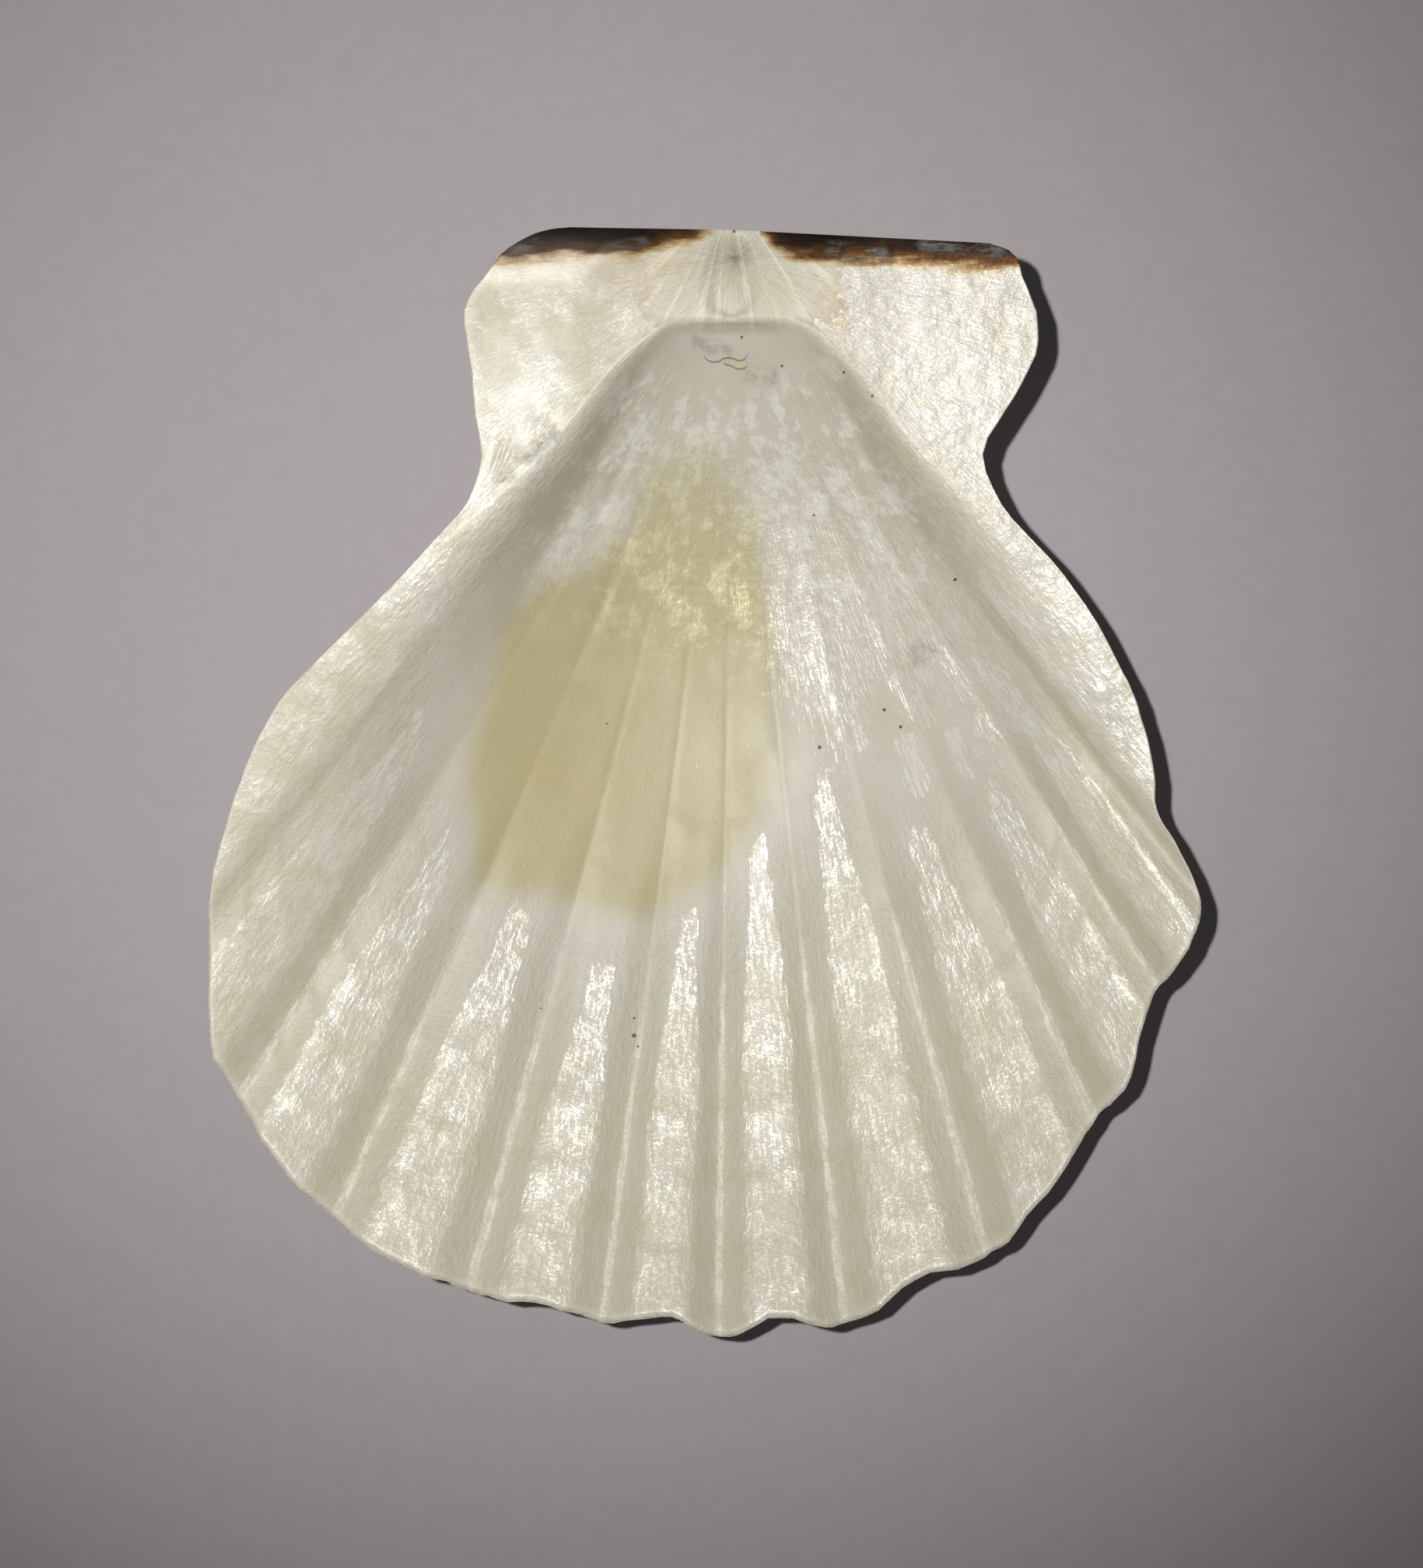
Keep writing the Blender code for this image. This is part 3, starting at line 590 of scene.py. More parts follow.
def shell_mesh(sizes):
    """Closed shell: the hollow side, the back and the wall round the rim."""
    plan = fan_plan(sizes.margin_frill / MM)
    rays, rows = plan.shape[:2]
    points = np.vstack([plan[:1, 0], plan[:, 1:].reshape(-1, 2)])
    x, y = points.T
    hollow, back = shell_surfaces(x, y, sizes)
    middle, quads, rim = fan_faces(rays, rows)
    count = len(points)
    row_x, row_y = x + BEAK_IN_ROW[0], y + BEAK_IN_ROW[1]
    top = np.stack([row_x, row_y, hollow], axis=-1)
    under = np.stack([row_x, row_y, back], axis=-1)
    after = np.roll(rim, -1)
    wall = np.stack([after, rim, rim + count, after + count], axis=-1)
    faces = [middle, middle[:, ::-1] + count, quads, quads[:, ::-1] + count, wall]
    mesh = bpy.data.meshes.new("scallop valve")
    mesh.from_pydata(np.vstack([top, under]) * MM, [], [face for part in faces for face in part.tolist()])
    finish = np.concatenate([np.full(len(part), number) for part, number in zip(faces, (0, 1, 0, 1, 0))])
    mesh.polygons.foreach_set("material_index", finish)
    mesh.update()
    mesh.validate()
    mesh.shade_smooth()

    angle, r, growth = disc_fields(x, y)
    hinge_plate = 1.0 - smoothstep(*PLATE_SIDE, np.abs(x - LEDGE_MIDDLE))
    hinge_plate = hinge_plate * smoothstep(-1.0, 1.0, y - HINGE_MIDDLE[1] + LEDGE_DROP)
    flat = np.maximum(1.0 - disc_share(angle, r, 0.0), hinge_plate)
    pearl = r - np.interp(angle, *np.array(PEARL_BEGINS).T)
    pearl = np.maximum(pearl, 8.0 * (flat - 0.5) * (1.0 - hinge_plate) - 4.0 * hinge_plate)
    # Painted shade: a strip down each flank that the pearly hollow darkens and keeps free of pearl.
    flank = np.exp(-((np.abs(angle) - FLANK_ANGLE + 1.0 - flank_splay(r)) / FLANK_SHADE) ** 2)
    steps = np.hypot(*np.diff(plan, axis=1).transpose(2, 0, 1))
    to_edge = np.hstack([np.cumsum(steps[:, ::-1], axis=1)[:, ::-1][:, 1:], np.zeros((rays, 1))])
    values = {
        "angle": angle,
        "radius": r,
        "ear": flat,
        "groove": groove_profile(angle, 1.0) * smoothstep(0.5, 0.75, growth),
        "across": 2.0 * np.abs(rib_phase(angle) % 1.0 - 0.5) * rib_fade(angle),
        "plate": hinge_plate,
        "pit_angle": np.degrees(np.arctan2(x - PIT_MIDDLE, PIT_FAN_TOP - y)),
        "flank": flank * smoothstep(*FLANK_SHADE_BEGINS, r) * (1.0 - smoothstep(*FLANK_SHADE_ENDS, r)),
        "worn": worn(x, y),
        "pearl": pearl,
        "scar": -polygon_distance(row_x, row_y, MUSCLE_SCAR),
        "patch": -polygon_distance(row_x, row_y, YELLOW_PATCH),
        "band": row_y - np.interp(row_x, *np.array(BAND_BORDER).T),
        "to_edge": np.concatenate([[FAR], to_edge.reshape(-1)])}
    values |= {name: stroke_mask(row_x, row_y, *marks) for name, marks in STROKES.items()}
    for name, value in values.items():
        layer = mesh.attributes.new(name, "FLOAT", "POINT")
        layer.data.foreach_set("value", np.tile(value, 2).astype(np.float32))
    return mesh


class Value:
    """What one socket gives; sums, differences, products and quotients become Math nodes."""

    def __init__(self, graph, socket):
        self.graph, self.socket = graph, socket

    def __add__(self, other):
        return self.graph.math("ADD", self, other)

    def __sub__(self, other):
        return self.graph.math("SUBTRACT", self, other)

    def __rsub__(self, other):
        return self.graph.math("SUBTRACT", other, self)

    def __mul__(self, other):
        return self.graph.math("MULTIPLY", self, other)

    def __truediv__(self, other):
        return self.graph.math("DIVIDE", self, other)


class Graph:
    """Short forms for building one node tree. A colour is given by its three parts."""

    def __init__(self, tree):
        self.tree = tree

    def feed(self, socket, value):
        """Link a value to a socket, or set the socket to a number or a colour."""
        if isinstance(value, Value):
            self.tree.links.new(value.socket, socket)
        else:
            socket.default_value = (*value, 1.0) if socket.type == "RGBA" else value

    def add(self, kind, inputs=None, **settings):
        """Add a node, set its options and feed its inputs."""
        node = self.tree.nodes.new(kind)
        for name, value in settings.items():
            setattr(node, name, value)
        for key, value in (inputs or {}).items():
            self.feed(node.inputs[key], value)
        return node

    def outputs(self, kind, inputs=None, **settings):
        """Everything that a new node gives, by name."""
        node = self.add(kind, inputs, **settings)
        return {socket.name: Value(self, socket) for socket in node.outputs}

    def give(self, output, kind, inputs=None, **settings):
        """One output of a new node, by its name or number."""
        return Value(self, self.add(kind, inputs, **settings).outputs[output])

    def group(self, tree, inputs):
        """Place a shader node group with its own values."""
        return self.outputs("ShaderNodeGroup", inputs, node_tree=tree)

    def math(self, operation, a, b=0.0, clamp=False):
        """One Math node."""
        return self.give(0, "ShaderNodeMath", {0: a, 1: b}, operation=operation, use_clamp=clamp)

    def larger(self, a, b):
        """The larger of two values."""
        return self.math("MAXIMUM", a, b)

    def smaller(self, a, b):
        """The smaller of two values."""
        return self.math("MINIMUM", a, b)

    def step(self, value, low, high):
        """Smooth rise from 0 at low to 1 at high."""
        return self.give(0, "ShaderNodeMapRange", {"Value": value, "From Min": low, "From Max": high},
                         interpolation_type="SMOOTHSTEP")

    def scale(self, value, low, high):
        """Carry 0 to 1 over to low to high."""
        return self.give(0, "ShaderNodeMapRange", {"Value": value, "To Min": low, "To Max": high})

    def blend(self, factor, a, b, mode="MIX"):
        """Mix two colours."""
        return self.give(2, "ShaderNodeMix", {0: factor, 6: a, 7: b}, data_type="RGBA", blend_type=mode)

    def noise(self, vector, scale, detail=3.0, roughness=0.55, distortion=0.0):
        """Fractal noise, from 0 to 1 round one half."""
        return self.give(0, "ShaderNodeTexNoise", {"Vector": vector, "Scale": scale, "Detail": detail,
                                                   "Roughness": roughness, "Distortion": distortion})

    def value(self, name):
        """A value stored on the mesh."""
        return self.give("Fac", "ShaderNodeAttribute", attribute_name=name)

    def bump(self, height, distance, inputs=None):
        """Tilt the surface by a height in millimetres."""
        return self.give(0, "ShaderNodeBump", {"Height": height, "Distance": distance * MM, **(inputs or {})})

    def place(self, x, y, z=0.0):
        """A place made from three values."""
        return self.give(0, "ShaderNodeCombineXYZ", {0: x, 1: y, 2: z})

    def stretch(self, vector, factors):
        """A vector multiplied part by part."""
        return self.give(0, "ShaderNodeVectorMath", {0: vector, 1: factors}, operation="MULTIPLY")

    def millimetres(self):
        """Place on the piece in millimetres."""
        return self.stretch(self.give("Object", "ShaderNodeTexCoord"), (1.0 / MM,) * 3)


def new_material(name):
    """A material, the short forms for its node tree, and the inputs of its shader."""
    material = bpy.data.materials.new(name)
    material.use_nodes = True
    return material, Graph(material.node_tree), material.node_tree.nodes["Principled BSDF"].inputs


def dots(graph, place, marks, softness):
    """Mask of round dots: 1 within each radius, fading over the softness, in millimetres."""
    nearest = FAR
    for x, y, radius in marks:
        gap = graph.give("Value", "ShaderNodeVectorMath", {0: place, 1: (x, y, 0.0)}, operation="DISTANCE")
        nearest = graph.smaller(gap - radius, nearest)
    return graph.step(nearest, softness, 0.0)


def curve_line(graph, place, line, half, softness):
    """Mask of a thin curve given by its height over even steps across, in millimetres."""
    (left, right), heights = line
    axes = graph.outputs("ShaderNodeSeparateXYZ", {0: place})
    along = (axes["X"] - left) / (right - left)
    ramp = graph.add("ShaderNodeFloatCurve", {"Value": along})
    curve = ramp.mapping.curves[0]
    low, high = min(heights), max(heights)
    for place_on, height in zip(np.linspace(0.0, 1.0, len(heights)), heights):
        curve.points.new(float(place_on), (height - low) / (high - low))
    curve.points.remove(curve.points[0])
    curve.points.remove(curve.points[-1])
    ramp.mapping.update()
    height = Value(graph, ramp.outputs[0]) * (high - low) + low
    gap = graph.math("ABSOLUTE", axes["Y"] - height)
    beyond = graph.math("ABSOLUTE", along - 0.5) * (right - left) - 0.5 * (right - left)
    return graph.step(graph.larger(gap, beyond), half + softness, half)


def shader_group(name, inputs, outputs, build):
    """A named shader node group; build wires its nodes and returns what each output gives."""
    tree = bpy.data.node_groups.new(name, "ShaderNodeTree")
    for label, kind, default in inputs:
        socket = tree.interface.new_socket(name=label, in_out="INPUT", socket_type="NodeSocket" + kind)
        if default is not None:
            socket.default_value = default
    for label, kind in outputs:
        tree.interface.new_socket(name=label, in_out="OUTPUT", socket_type="NodeSocket" + kind)
    graph = Graph(tree)
    graph.add("NodeGroupOutput", build(graph, graph.outputs("NodeGroupInput")))
    return tree


def grain_group():
    """Grain: fractal noise as a mask from 0 to 1, and as a relief either side of 0."""
    def build(graph, given):
        mask = graph.noise(given["Place"], given["Cells per mm"], given["Detail"], 0.65)
        return {"Mask": mask, "Relief": mask - 0.5}
    return shader_group("grain", [("Place", "Vector", None), ("Cells per mm", "Float", 1.0),
                                  ("Detail", "Float", 2.0)],
                        [("Mask", "Float"), ("Relief", "Float")], build)


def rim_wear_group():
    """Rim wear: a mask that rises towards the margin and is broken up by the grain."""
    def build(graph, given):
        level = (given["To edge"] + (given["Grain"] - 0.5) * given["Reach"]) / given["Reach"]
        return {"Mask": graph.step(level, 1.0, 0.1) * given["Strength"]}
    return shader_group("rim wear", [("To edge", "Float", FAR), ("Grain", "Float", 0.5),
                                     ("Reach", "Float", 1.0), ("Strength", "Float", 0.5)],
                        [("Mask", "Float")], build)


def hinge_group():
    """Hinge bands: the tint by height over their lower border, from clear to gold to black."""
    def build(graph, given):
        height = given["Height"] + (given["Streaks"] - 0.5) * given["Unevenness"]
        ramp = graph.add("ShaderNodeValToRGB", {"Fac": height * 0.34})
        tones = ramp.color_ramp.elements
        tones[1].position = HINGE_TONES[-1][0]
        for at, _ in HINGE_TONES[1:-1]:
            tones.new(at)
        for stop, (_, tone) in zip(tones, HINGE_TONES):
            stop.color = (*tone, 1.0)
        return {"Tint": Value(graph, ramp.outputs["Color"]), "Dark": graph.step(height, 0.3, 1.0)}
    return shader_group("hinge bands", [("Height", "Float", 0.0), ("Streaks", "Float", 0.5),
                                        ("Unevenness", "Float", 1.0)],
                        [("Tint", "Color"), ("Dark", "Float")], build)


def pearl_material(settings, groups):
    """Pearly inside: cream shell under fibrous pearl, with stains, specks, dark hinge bands, painted shade
    and painted highlights.
    """
    material, graph, shader = new_material("pearly hollow")
    step, scale, value = graph.step, graph.scale, graph.value
    place = graph.millimetres()
    flat_place = graph.stretch(place, (1.0, 1.0, 0.0))
    angle, r, reach = value("angle"), value("radius"), value("pearl")
    ear, groove, across = value("ear"), value("groove"), value("across")
    flank, plate, in_scar = value("flank"), value("plate"), value("scar")

    def grain(cells, detail, vector=place):
        return graph.group(groups["grain"], {"Place": vector, "Cells per mm": cells, "Detail": detail})

    def layer(*coats, mode="MIX"):
        nonlocal colour
        for amount, finish in coats:
            if isinstance(finish, str):
                finish = getattr(settings, finish)
            colour = graph.blend(amount, colour, finish, mode)

    # Fibres run outwards along the rays; clouds, flecks and frost don't.
    fibres = grain(1.0, 2.0, graph.place(angle * 2.8, r * 0.55, ear))
    cloudy = grain(0.30, 2.0)["Mask"]
    flecks, fine = grain(1.3, 3.0), grain(4.6, 1.0)
    frosty = grain(1.0, 3.0, graph.place(angle * 0.20, r * 0.32))["Mask"]

    # The bright pearl: tongues that widen outwards between the grooves, the ears, the brushed
    # muscle scar and frost round the beak; part of its brightness is painted highlight.
    width = fibres["Relief"] * 0.2 + flecks["Relief"] * 0.25 + step(reach, 0.0, 15.0) * 0.30 + 0.26
    tongue = step(width - across, *TONGUE_EDGE)
    outer = tongue * step(reach + flecks["Relief"] * scale(ear, *ONSET_RAGGED), *ONSET_EDGE)
    brushed = fibres["Relief"] * 9.0 + flecks["Relief"] * 5.0
    scar = step(graph.smaller(in_scar, SCAR_EDGE[1]) + brushed, *SCAR_EDGE) * SCAR_STRENGTH
    scar = graph.larger(scar, step(brushed * 0.22 + value("glint"), *GLINT_EDGE))
    by_beak = step(r, *FROST_BEGINS) * step(r, *FROST_ENDS) * (1.0 - ear)
    frost = step(cloudy * 0.25 + frosty * 0.45 + flecks["Mask"] * 0.30, *FROST_EDGE) * by_beak
    # Painted shade on the grooves' sides, and between the tongues past the onset.
    groove_side_shade = groove * 4.0 * (1.0 - groove)
    sides = (1.0 - tongue) * step(reach, *SIDES_BEGIN)
    pearl = graph.larger(graph.larger(outer, scar), frost * 0.8) * (1.0 - flank * 0.9)
    patches = scale(step(cloudy, *CLOUD_EDGE), CLOUD_LEAST, 1.0)
    patches = patches * scale(step(reach, *PEARL_DULLS), 1.0, PEARL_DULL)
    # Painted highlight: brighter on the right ear, duller on the left.
    side_highlight = graph.smaller(angle * 0.012 * ear, 0.62)
    patches = step(reach, *TIPS_SHINE) * 0.50 + patches + side_highlight
    patches = graph.math("MAXIMUM", patches, scar * 0.9, clamp=True)
    crisp = step(fine["Mask"] * 0.28 + fibres["Mask"] * 0.52 + flecks["Mask"] * 0.20, *CRISP_EDGE)
    crisp = graph.larger(scale(crisp, CRISP_LEAST, 1.0), side_highlight)
    # Shine lightens the colour as painted highlight and also raises the metallic gloss.
    shine = pearl * patches * crisp
    sparkle = pearl * step(fine["Mask"], *SPARKLE_EDGE)
    # Painted highlight: a thin bright line along each groove's floor.
    wander = fibres["Relief"] * 0.05 + (cloudy - 0.5) * 0.08 + across
    groove_floor_highlight = step(wander, *GROOVE_HIGHLIGHT_BEGINS) * step(wander, *GROOVE_HIGHLIGHT_ENDS)
    groove_floor_highlight = groove_floor_highlight * step(reach, *GROOVE_HIGHLIGHT_FROM) * crisp

    # Colours, from the bare shell up to the pearl and the stains, with painted shade on the flanks, the
    # groove sides and the left ear, and painted highlight on the pearl and along the groove floors.
    colour = graph.blend(step(cloudy, 0.35, 0.65), settings.shell_colour, settings.cool_colour)
    fringe = step(reach, *FRINGE_BEGINS) * step(reach, *FRINGE_ENDS) * (1.0 - ear)
    pit_fan = graph.place(value("pit_angle"), r * 0.3)
    pit_lines = step(graph.noise(pit_fan, 0.17, 2.0), 0.52, 0.62) * plate
    lustre = graph.blend(step(frosty, 0.40, 0.62), settings.pearl_and_highlight_colour, settings.sheen_colour)
    # Painted shade on the left ear.
    shaded = ear * step(angle, *FAR_EAR)
    rim = graph.group(groups["rim"], {"To edge": value("to_edge"), "Grain": flecks["Mask"],
                                      "Reach": 0.9, "Strength": 0.22})["Mask"]
    crusted = value("worn") * step(flecks["Mask"], 0.40, 0.6)
    layer((fringe * 0.55, "lilac_colour"), (flank * 0.45, "bare_and_shade_colour"), (plate * 0.22, "bare_and_shade_colour"),
          (pit_lines * 0.35, "pearl_and_highlight_colour"), (outer * scale(ear, 0.30, 0.05), "bare_and_shade_colour"),
          (shaded * 0.25, "bare_and_shade_colour"), (frost * 0.30, lustre),
          (shine * scale(ear, 0.58, 0.80), lustre), (sides * 0.45, "bare_and_shade_colour"),
          (groove_side_shade * 0.30, "bare_and_shade_colour"), (groove_floor_highlight * 0.46, "pearl_and_highlight_colour"), (rim, "pearl_and_highlight_colour"),
          (crusted * 0.7, CRUST_GREY))
    stained = (frosty - 0.5) * scale(by_beak, 0.0, 4.0) + (value("patch") + (cloudy - 0.5) * 2.5)
    stained = step(stained, *STAIN_EDGE) * scale(step(r, *STAIN_FULL), 0.6, 1.0)
    honey = dots(graph, flat_place, HONEY_SPOT, 6.0) * step(cloudy, 0.3, 0.7)
    layer((stained, "patch_colour"), (honey * 0.6, "honey_colour"), mode="MULTIPLY")
    layer((value("tan") * step(flecks["Mask"], 0.3, 0.6) * 0.45, TAN))

    # Hinge: golden below, then brown and near black, with translucent grey gaps.
    drift = grain(1.0, 3.0, graph.stretch(place, (0.35, 1.5, 1.0)))["Mask"]
    hinge = graph.group(groups["hinge"], {"Height": value("band"), "Streaks": drift, "Unevenness": 1.6})
    gaps = value("gap") * step(drift, 0.38, 0.60)
    banded = graph.blend(gaps * 0.75, hinge["Tint"], settings.gap_colour)
    dark = hinge["Dark"]
    layer((1.0, graph.blend(dark, hinge["Tint"], banded)), mode="MULTIPLY")

    crack = graph.larger(*(curve_line(graph, place, line, 0.02, 0.06) for line in CRACK_LINES))
    smear = value("smear") * step(flecks["Mask"], 0.36, 0.6)
    specks = dots(graph, flat_place, SPECKS, 0.05)
    layer((smear * 0.5, SMEAR_GREY), (value("fill") * 0.8, SAND), (crack * 0.75, CRACK_BROWN),
          (specks * 0.9, SPECK_BLACK))
    graph.feed(shader["Base Color"], colour)

    clean = shine * (1.0 - graph.larger(graph.larger(dark, specks), crack))
    graph.feed(shader["Metallic"], graph.larger(clean * 0.25 + sparkle * 0.14, dark * 0.85))
    graph.feed(shader["Roughness"], dark * 0.24 + shine * -0.12 + fine["Mask"] * -0.14 + 0.60)
    graph.feed(shader["Coat Weight"], scale(pearl, 0.08, 0.25) * (dark * -0.9 + 1.0))
    shader["Coat Roughness"].default_value = 0.30
    shader["Specular IOR Level"].default_value = 0.5

    # Relief in millimetres, strongest under the pearl; the ears are dented like foil.
    near = graph.larger(step(reach, -3.0, 1.0), step(in_scar, -2.0, 1.0))
    relief = fine["Relief"] * 0.034 + flecks["Relief"] * 0.11 + fibres["Relief"] * 0.07
    crumbs = pit_lines * 0.03 + (frosty - 0.5) * graph.larger(by_beak, ear) * 0.22
    foil = flecks["Relief"] * 0.04 + (cloudy - 0.5) * 0.5
    crumbs = foil * (step(ear, 0.6, 1.0) - plate) + crumbs
    graph.feed(shader["Normal"], graph.bump(relief * scale(near, 0.25, 1.0) + crumbs, 1.0))
    return material


def back_material(settings, groups):
    """Ribbed outside: cream with purple-brown mottling, growth bands and a chalky grain."""
    material, graph, shader = new_material("ribbed back")
    place = graph.millimetres()
    fan_place = graph.place(graph.value("angle") * 0.35, graph.value("radius"))
    rings = graph.noise(fan_place, 0.9, 3.0, 0.6)
    mottle = graph.noise(place, 0.22, 4.0, 0.6, 0.8)
    grain = graph.group(groups["grain"], {"Place": place, "Cells per mm": 2.4, "Detail": 3.0})
    rim = graph.group(groups["rim"], {"To edge": graph.value("to_edge"), "Grain": grain["Mask"],
                                      "Reach": 3.0, "Strength": 0.6})["Mask"]
    hinge = graph.group(groups["hinge"], {"Height": graph.value("band"), "Streaks": grain["Mask"],
                                          "Unevenness": 1.5})
    colour = graph.blend(graph.step(mottle * 0.7 + rings * 0.3, *MOTTLE_EDGE) * 0.75,
                         settings.back_colour, settings.back_mottle)
    for amount, finish in ((graph.step(rings, 0.5, 0.75) * 0.25, PALE_RING),
                           (graph.scale(grain["Mask"], 0.0, 0.35), CHALK), (rim, RUBBED_RIM)):
        colour = graph.blend(amount, colour, finish)
    graph.feed(shader["Base Color"], graph.blend(1.0, colour, hinge["Tint"], "MULTIPLY"))
    graph.feed(shader["Roughness"], graph.scale(grain["Mask"], 0.45, 0.7))
    shader["Specular IOR Level"].default_value = 0.4
    waves = {"Vector": fan_place, "Scale": 0.55, "Distortion": 3.0, "Detail": 2.0}
    fine_rings = graph.give("Fac", "ShaderNodeTexWave", waves, bands_direction="Y")
    ringed = graph.bump(fine_rings, 0.05)
    graph.feed(shader["Normal"], graph.bump(grain["Relief"], 0.12, {"Normal": ringed}))
    return material


def size(name, description, millimetres):
    """A length that a user can change."""
    default = millimetres * MM
    return bpy.props.FloatProperty(name=name, description=description, default=default, unit="LENGTH")


def hue(name, description, default):
    """A colour that a user can change."""
    return bpy.props.FloatVectorProperty(name=name, description=description, default=default,
                                         subtype="COLOR", min=0.0, max=1.0)


class ScallopSettings(bpy.types.PropertyGroup):
    """Sizes and colours of the valve and its stage."""
    groove_depth: size("Groove depth", "Depth of the grooves inside, at the margin", 0.95)
    rib_height: size("Rib height", "Height of the ribs on the back, at the margin", 1.15)
    pit_depth: size("Pit depth", "Depth of the ligament pit", 0.42)
    ear_dish: size("Ear dish", "How deep the ears are hollowed", 0.45)
    margin_frill: size("Margin frill", "Unevenness of the margin", 0.28)
    shell_colour: hue("Shell", "Cream of the shell under the pearl", (0.53, 0.503, 0.388))
    cool_colour: hue("Cool shell", "Greyer shell in cloudy patches", (0.57, 0.545, 0.462))
    # Bright pearl, also the colour of the painted highlights on the pearl and along the groove floors.
    pearl_and_highlight_colour: hue("Pearl", "Bright pearl", (0.88, 0.845, 0.76))
    patch_colour: hue("Yellow patch", "Tint of the yellow patch", (0.83, 0.79, 0.54))
    honey_colour: hue("Honey spot", "Tint of the darker spot in the patch", (0.97, 0.90, 0.70))
    lilac_colour: hue("Lilac", "Cool fringe where the pearl begins", (0.46, 0.44, 0.415))
    sheen_colour: hue("Sheen", "Cool play of colour in the pearl", (0.85, 0.845, 0.82))
    # Bare shell, and the colour of the painted shade on the flanks, the groove sides and the left ear.
    bare_and_shade_colour: hue("Slopes", "Bare shell in the grooves and on the flanks", (0.42, 0.395, 0.30))
    gap_colour: hue("Hinge gaps", "Bluish grey gaps in the dark bands", (0.34, 0.33, 0.36))
    back_colour: hue("Back", "Ground colour of the back", (0.66, 0.56, 0.44))
    back_mottle: hue("Back mottling", "Mottling on the back", (0.20, 0.085, 0.055))
    floor_colour: hue("Floor", "Colour of the pale floor", (0.36, 0.333, 0.350))
    camera_height: size("Camera height", "Height of the camera above the floor", 183.1)
    key_power: bpy.props.FloatProperty(
        name="Key light", description="Power of the main light", default=1.41, unit="POWER")
    fill: bpy.props.FloatProperty(
        name="Fill", description="Strength of the surrounding light where it is brightest", default=0.42)


class SHELL_OT_valve(bpy.types.Operator):
    """Grow the valve and give it its finish in place of the plain solid"""
    bl_idname = "shell.valve"
    bl_label = "Scallop valve"

    def execute(self, context):
        settings = context.scene.scallop
        mesh = shell_mesh(settings)
        groups = {"grain": grain_group(), "rim": rim_wear_group(), "hinge": hinge_group()}
        mesh.materials.append(pearl_material(settings, groups))
        mesh.materials.append(back_material(settings, groups))
        valve = bpy.data.objects.new("scallop_valve", mesh)
        context.scene.collection.objects.link(valve)
        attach(valve, "root")
        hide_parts(NODE)
        return {"FINISHED"}


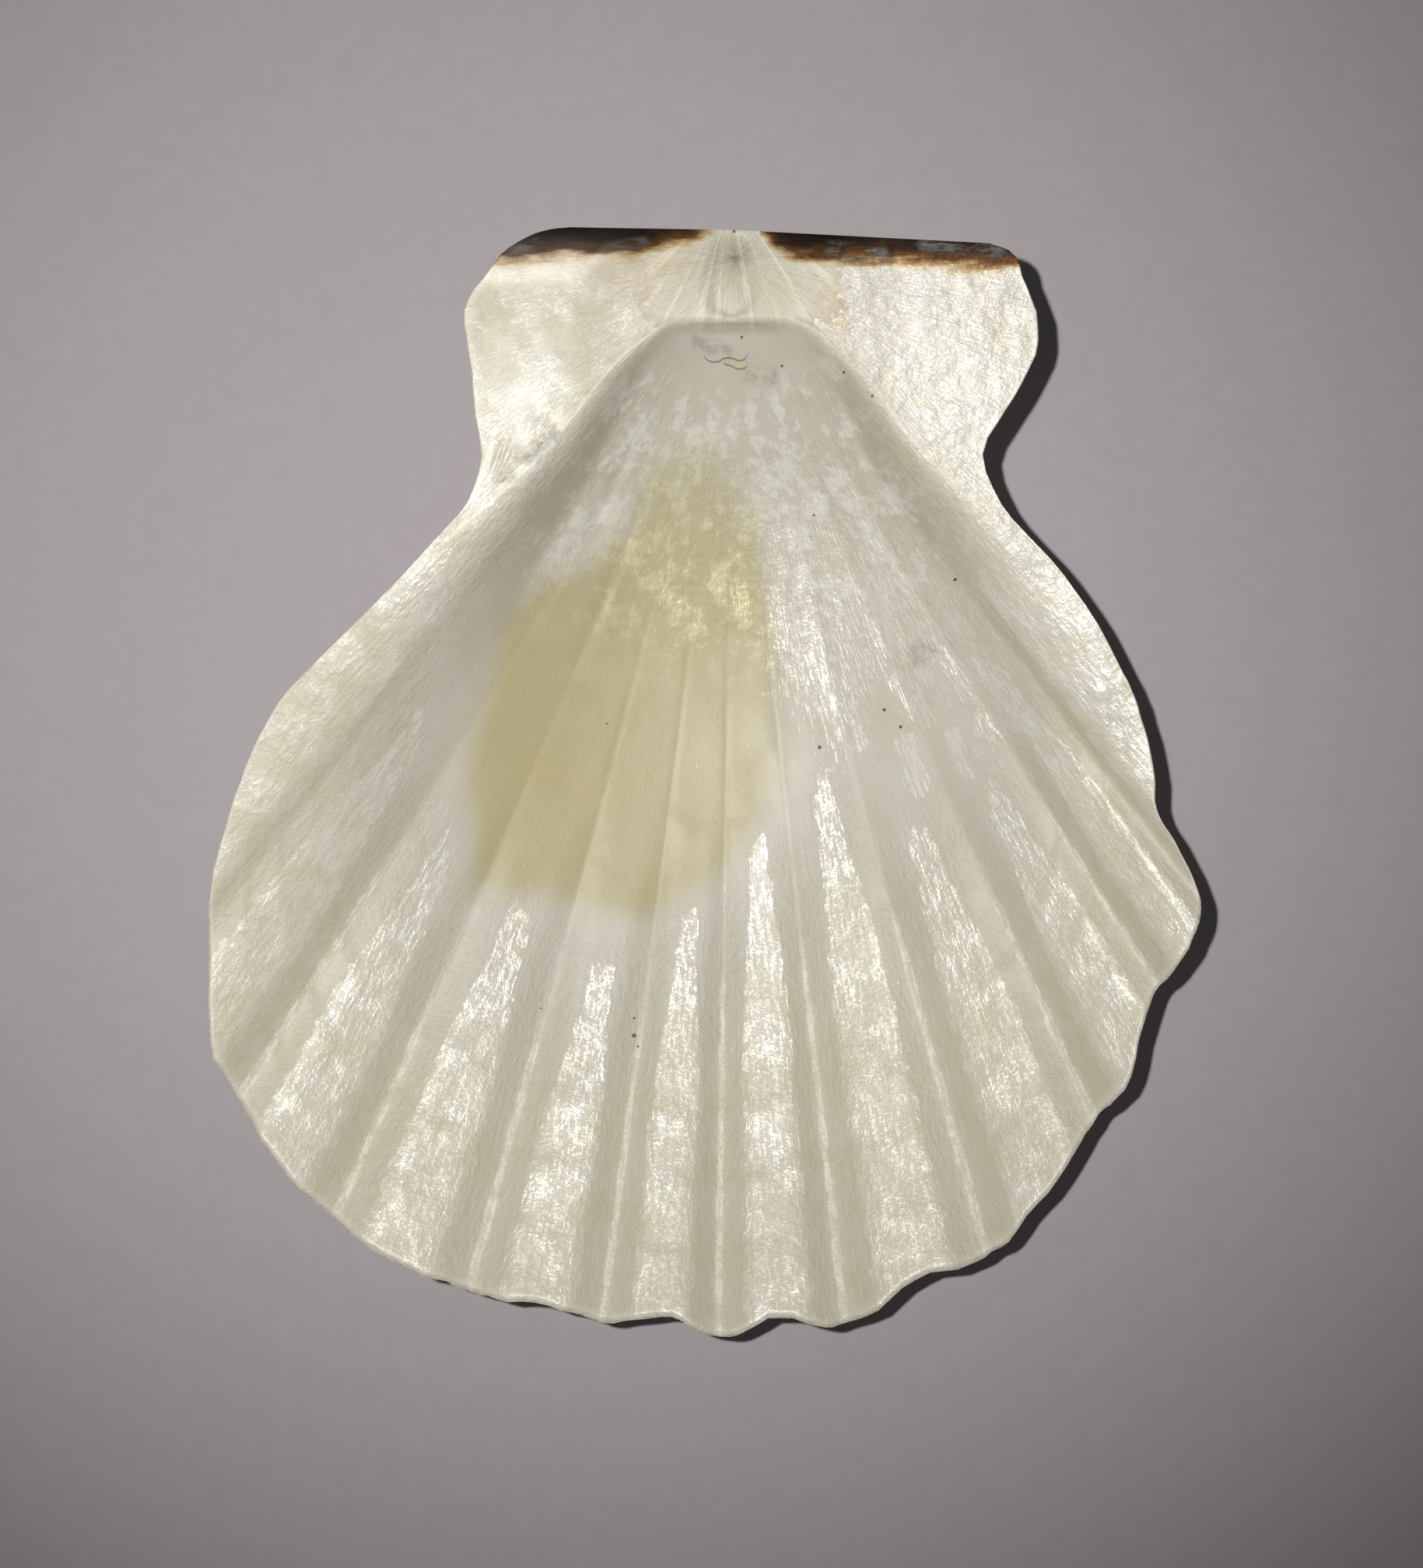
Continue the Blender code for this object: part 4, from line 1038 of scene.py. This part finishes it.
class SHELL_OT_stage(bpy.types.Operator):
    """Lay the pale floor, hang the soft lights and place the camera"""
    bl_idname = "shell.stage"
    bl_label = "Stage"

    def execute(self, context):
        settings = context.scene.scallop
        side = FLOOR_HALF
        mesh = bpy.data.meshes.new("floor")
        mesh.from_pydata([(-side, -side, 0.0), (side, -side, 0.0), (side, side, 0.0), (-side, side, 0.0)],
                         [], [(0, 1, 2, 3)])
        floor = bpy.data.objects.new("floor", mesh)
        context.scene.collection.objects.link(floor)
        paper, graph, shader = new_material("pale floor")
        place = graph.millimetres()
        tinted = graph.blend(graph.scale(graph.noise(place, 0.6), 0.0, 0.06), settings.floor_colour,
                             (0.9, 0.9, 0.9))
        away = graph.give("Value", "ShaderNodeVectorMath", {0: place}, operation="LENGTH")
        tinted = graph.blend(graph.step(away, *FLOOR_PALES), tinted, (0.85, 0.84, 0.85))
        graph.feed(shader["Base Color"], tinted)
        graph.feed(shader["Emission Color"],
                   graph.blend(graph.step(away, *FLOOR_GLOWS), (0.0, 0.0, 0.0), (1.0, 0.985, 1.0)))
        shader["Emission Strength"].default_value = BACKDROP
        shader["Roughness"].default_value = 0.85
        mesh.materials.append(paper)

        key = bpy.data.lights.new("key light", "SPOT")
        key.shadow_soft_size = KEY_RADIUS * MM
        key.spot_size = np.radians(KEY_CONE)
        key.spot_blend = 1.0
        key.energy = settings.key_power
        key.color = (1.0, 0.975, 0.94)
        lamp = bpy.data.objects.new("key light", key)
        lamp.location = Vector(KEY_AT) * MM
        aim = Vector(KEY_AIM) * MM - lamp.location
        lamp.rotation_euler = aim.to_track_quat("-Z", "Y").to_euler()
        context.scene.collection.objects.link(lamp)

        world = bpy.data.worlds.new("soft surround")
        world.use_nodes = True
        graph = Graph(world.node_tree)
        back = world.node_tree.nodes["Background"]
        graph.feed(back.inputs["Color"], (0.95, 0.95, 1.0))
        toward = graph.give("Generated", "ShaderNodeTexCoord")
        up = graph.give("Z", "ShaderNodeSeparateXYZ", {0: toward})
        glow = graph.step(up, *GLOW_RISES) * graph.step(up, *GLOW_FADES)
        level = graph.scale(glow, settings.fill * DARKEST_SHARE, settings.fill)
        level = graph.larger(level, graph.scale(graph.step(up, *BACKDROP_ENDS), BACKDROP, 0.0))
        graph.feed(back.inputs["Strength"], level)
        context.scene.world = world

        view = bpy.data.cameras.new("camera")
        view.sensor_fit = "VERTICAL"
        view.sensor_height = FILM_HEIGHT
        view.lens = LENS
        view.clip_start = 0.005
        camera = bpy.data.objects.new("camera", view)
        camera.location = (CAMERA_OVER[0] * MM, CAMERA_OVER[1] * MM, settings.camera_height)
        context.scene.collection.objects.link(camera)
        context.scene.camera = camera
        context.scene.view_settings.view_transform = "Standard"
        return {"FINISHED"}


class SHELL_PT_panel(bpy.types.Panel):
    """Settings and the two steps that make the scene"""
    bl_idname = "SHELL_PT_panel"
    bl_label = "Scallop shell"
    bl_space_type = "VIEW_3D"
    bl_region_type = "UI"
    bl_category = "Shell"

    def draw(self, context):
        for name in ScallopSettings.__annotations__:
            self.layout.prop(context.scene.scallop, name)
        self.layout.operator(SHELL_OT_valve.bl_idname)
        self.layout.operator(SHELL_OT_stage.bl_idname)


CLASSES = (ScallopSettings, SHELL_OT_valve, SHELL_OT_stage, SHELL_PT_panel)


def register():
    """Register the classes and hang the settings on the scene."""
    for item in CLASSES:
        bpy.utils.register_class(item)
    bpy.types.Scene.scallop = bpy.props.PointerProperty(type=ScallopSettings)


def unregister():
    """Undo register."""
    del bpy.types.Scene.scallop
    for item in reversed(CLASSES):
        bpy.utils.unregister_class(item)


def main():
    """Make the valve and its stage."""
    register()
    bpy.ops.shell.valve()
    bpy.ops.shell.stage()


if __name__ == "__main__":
    main()
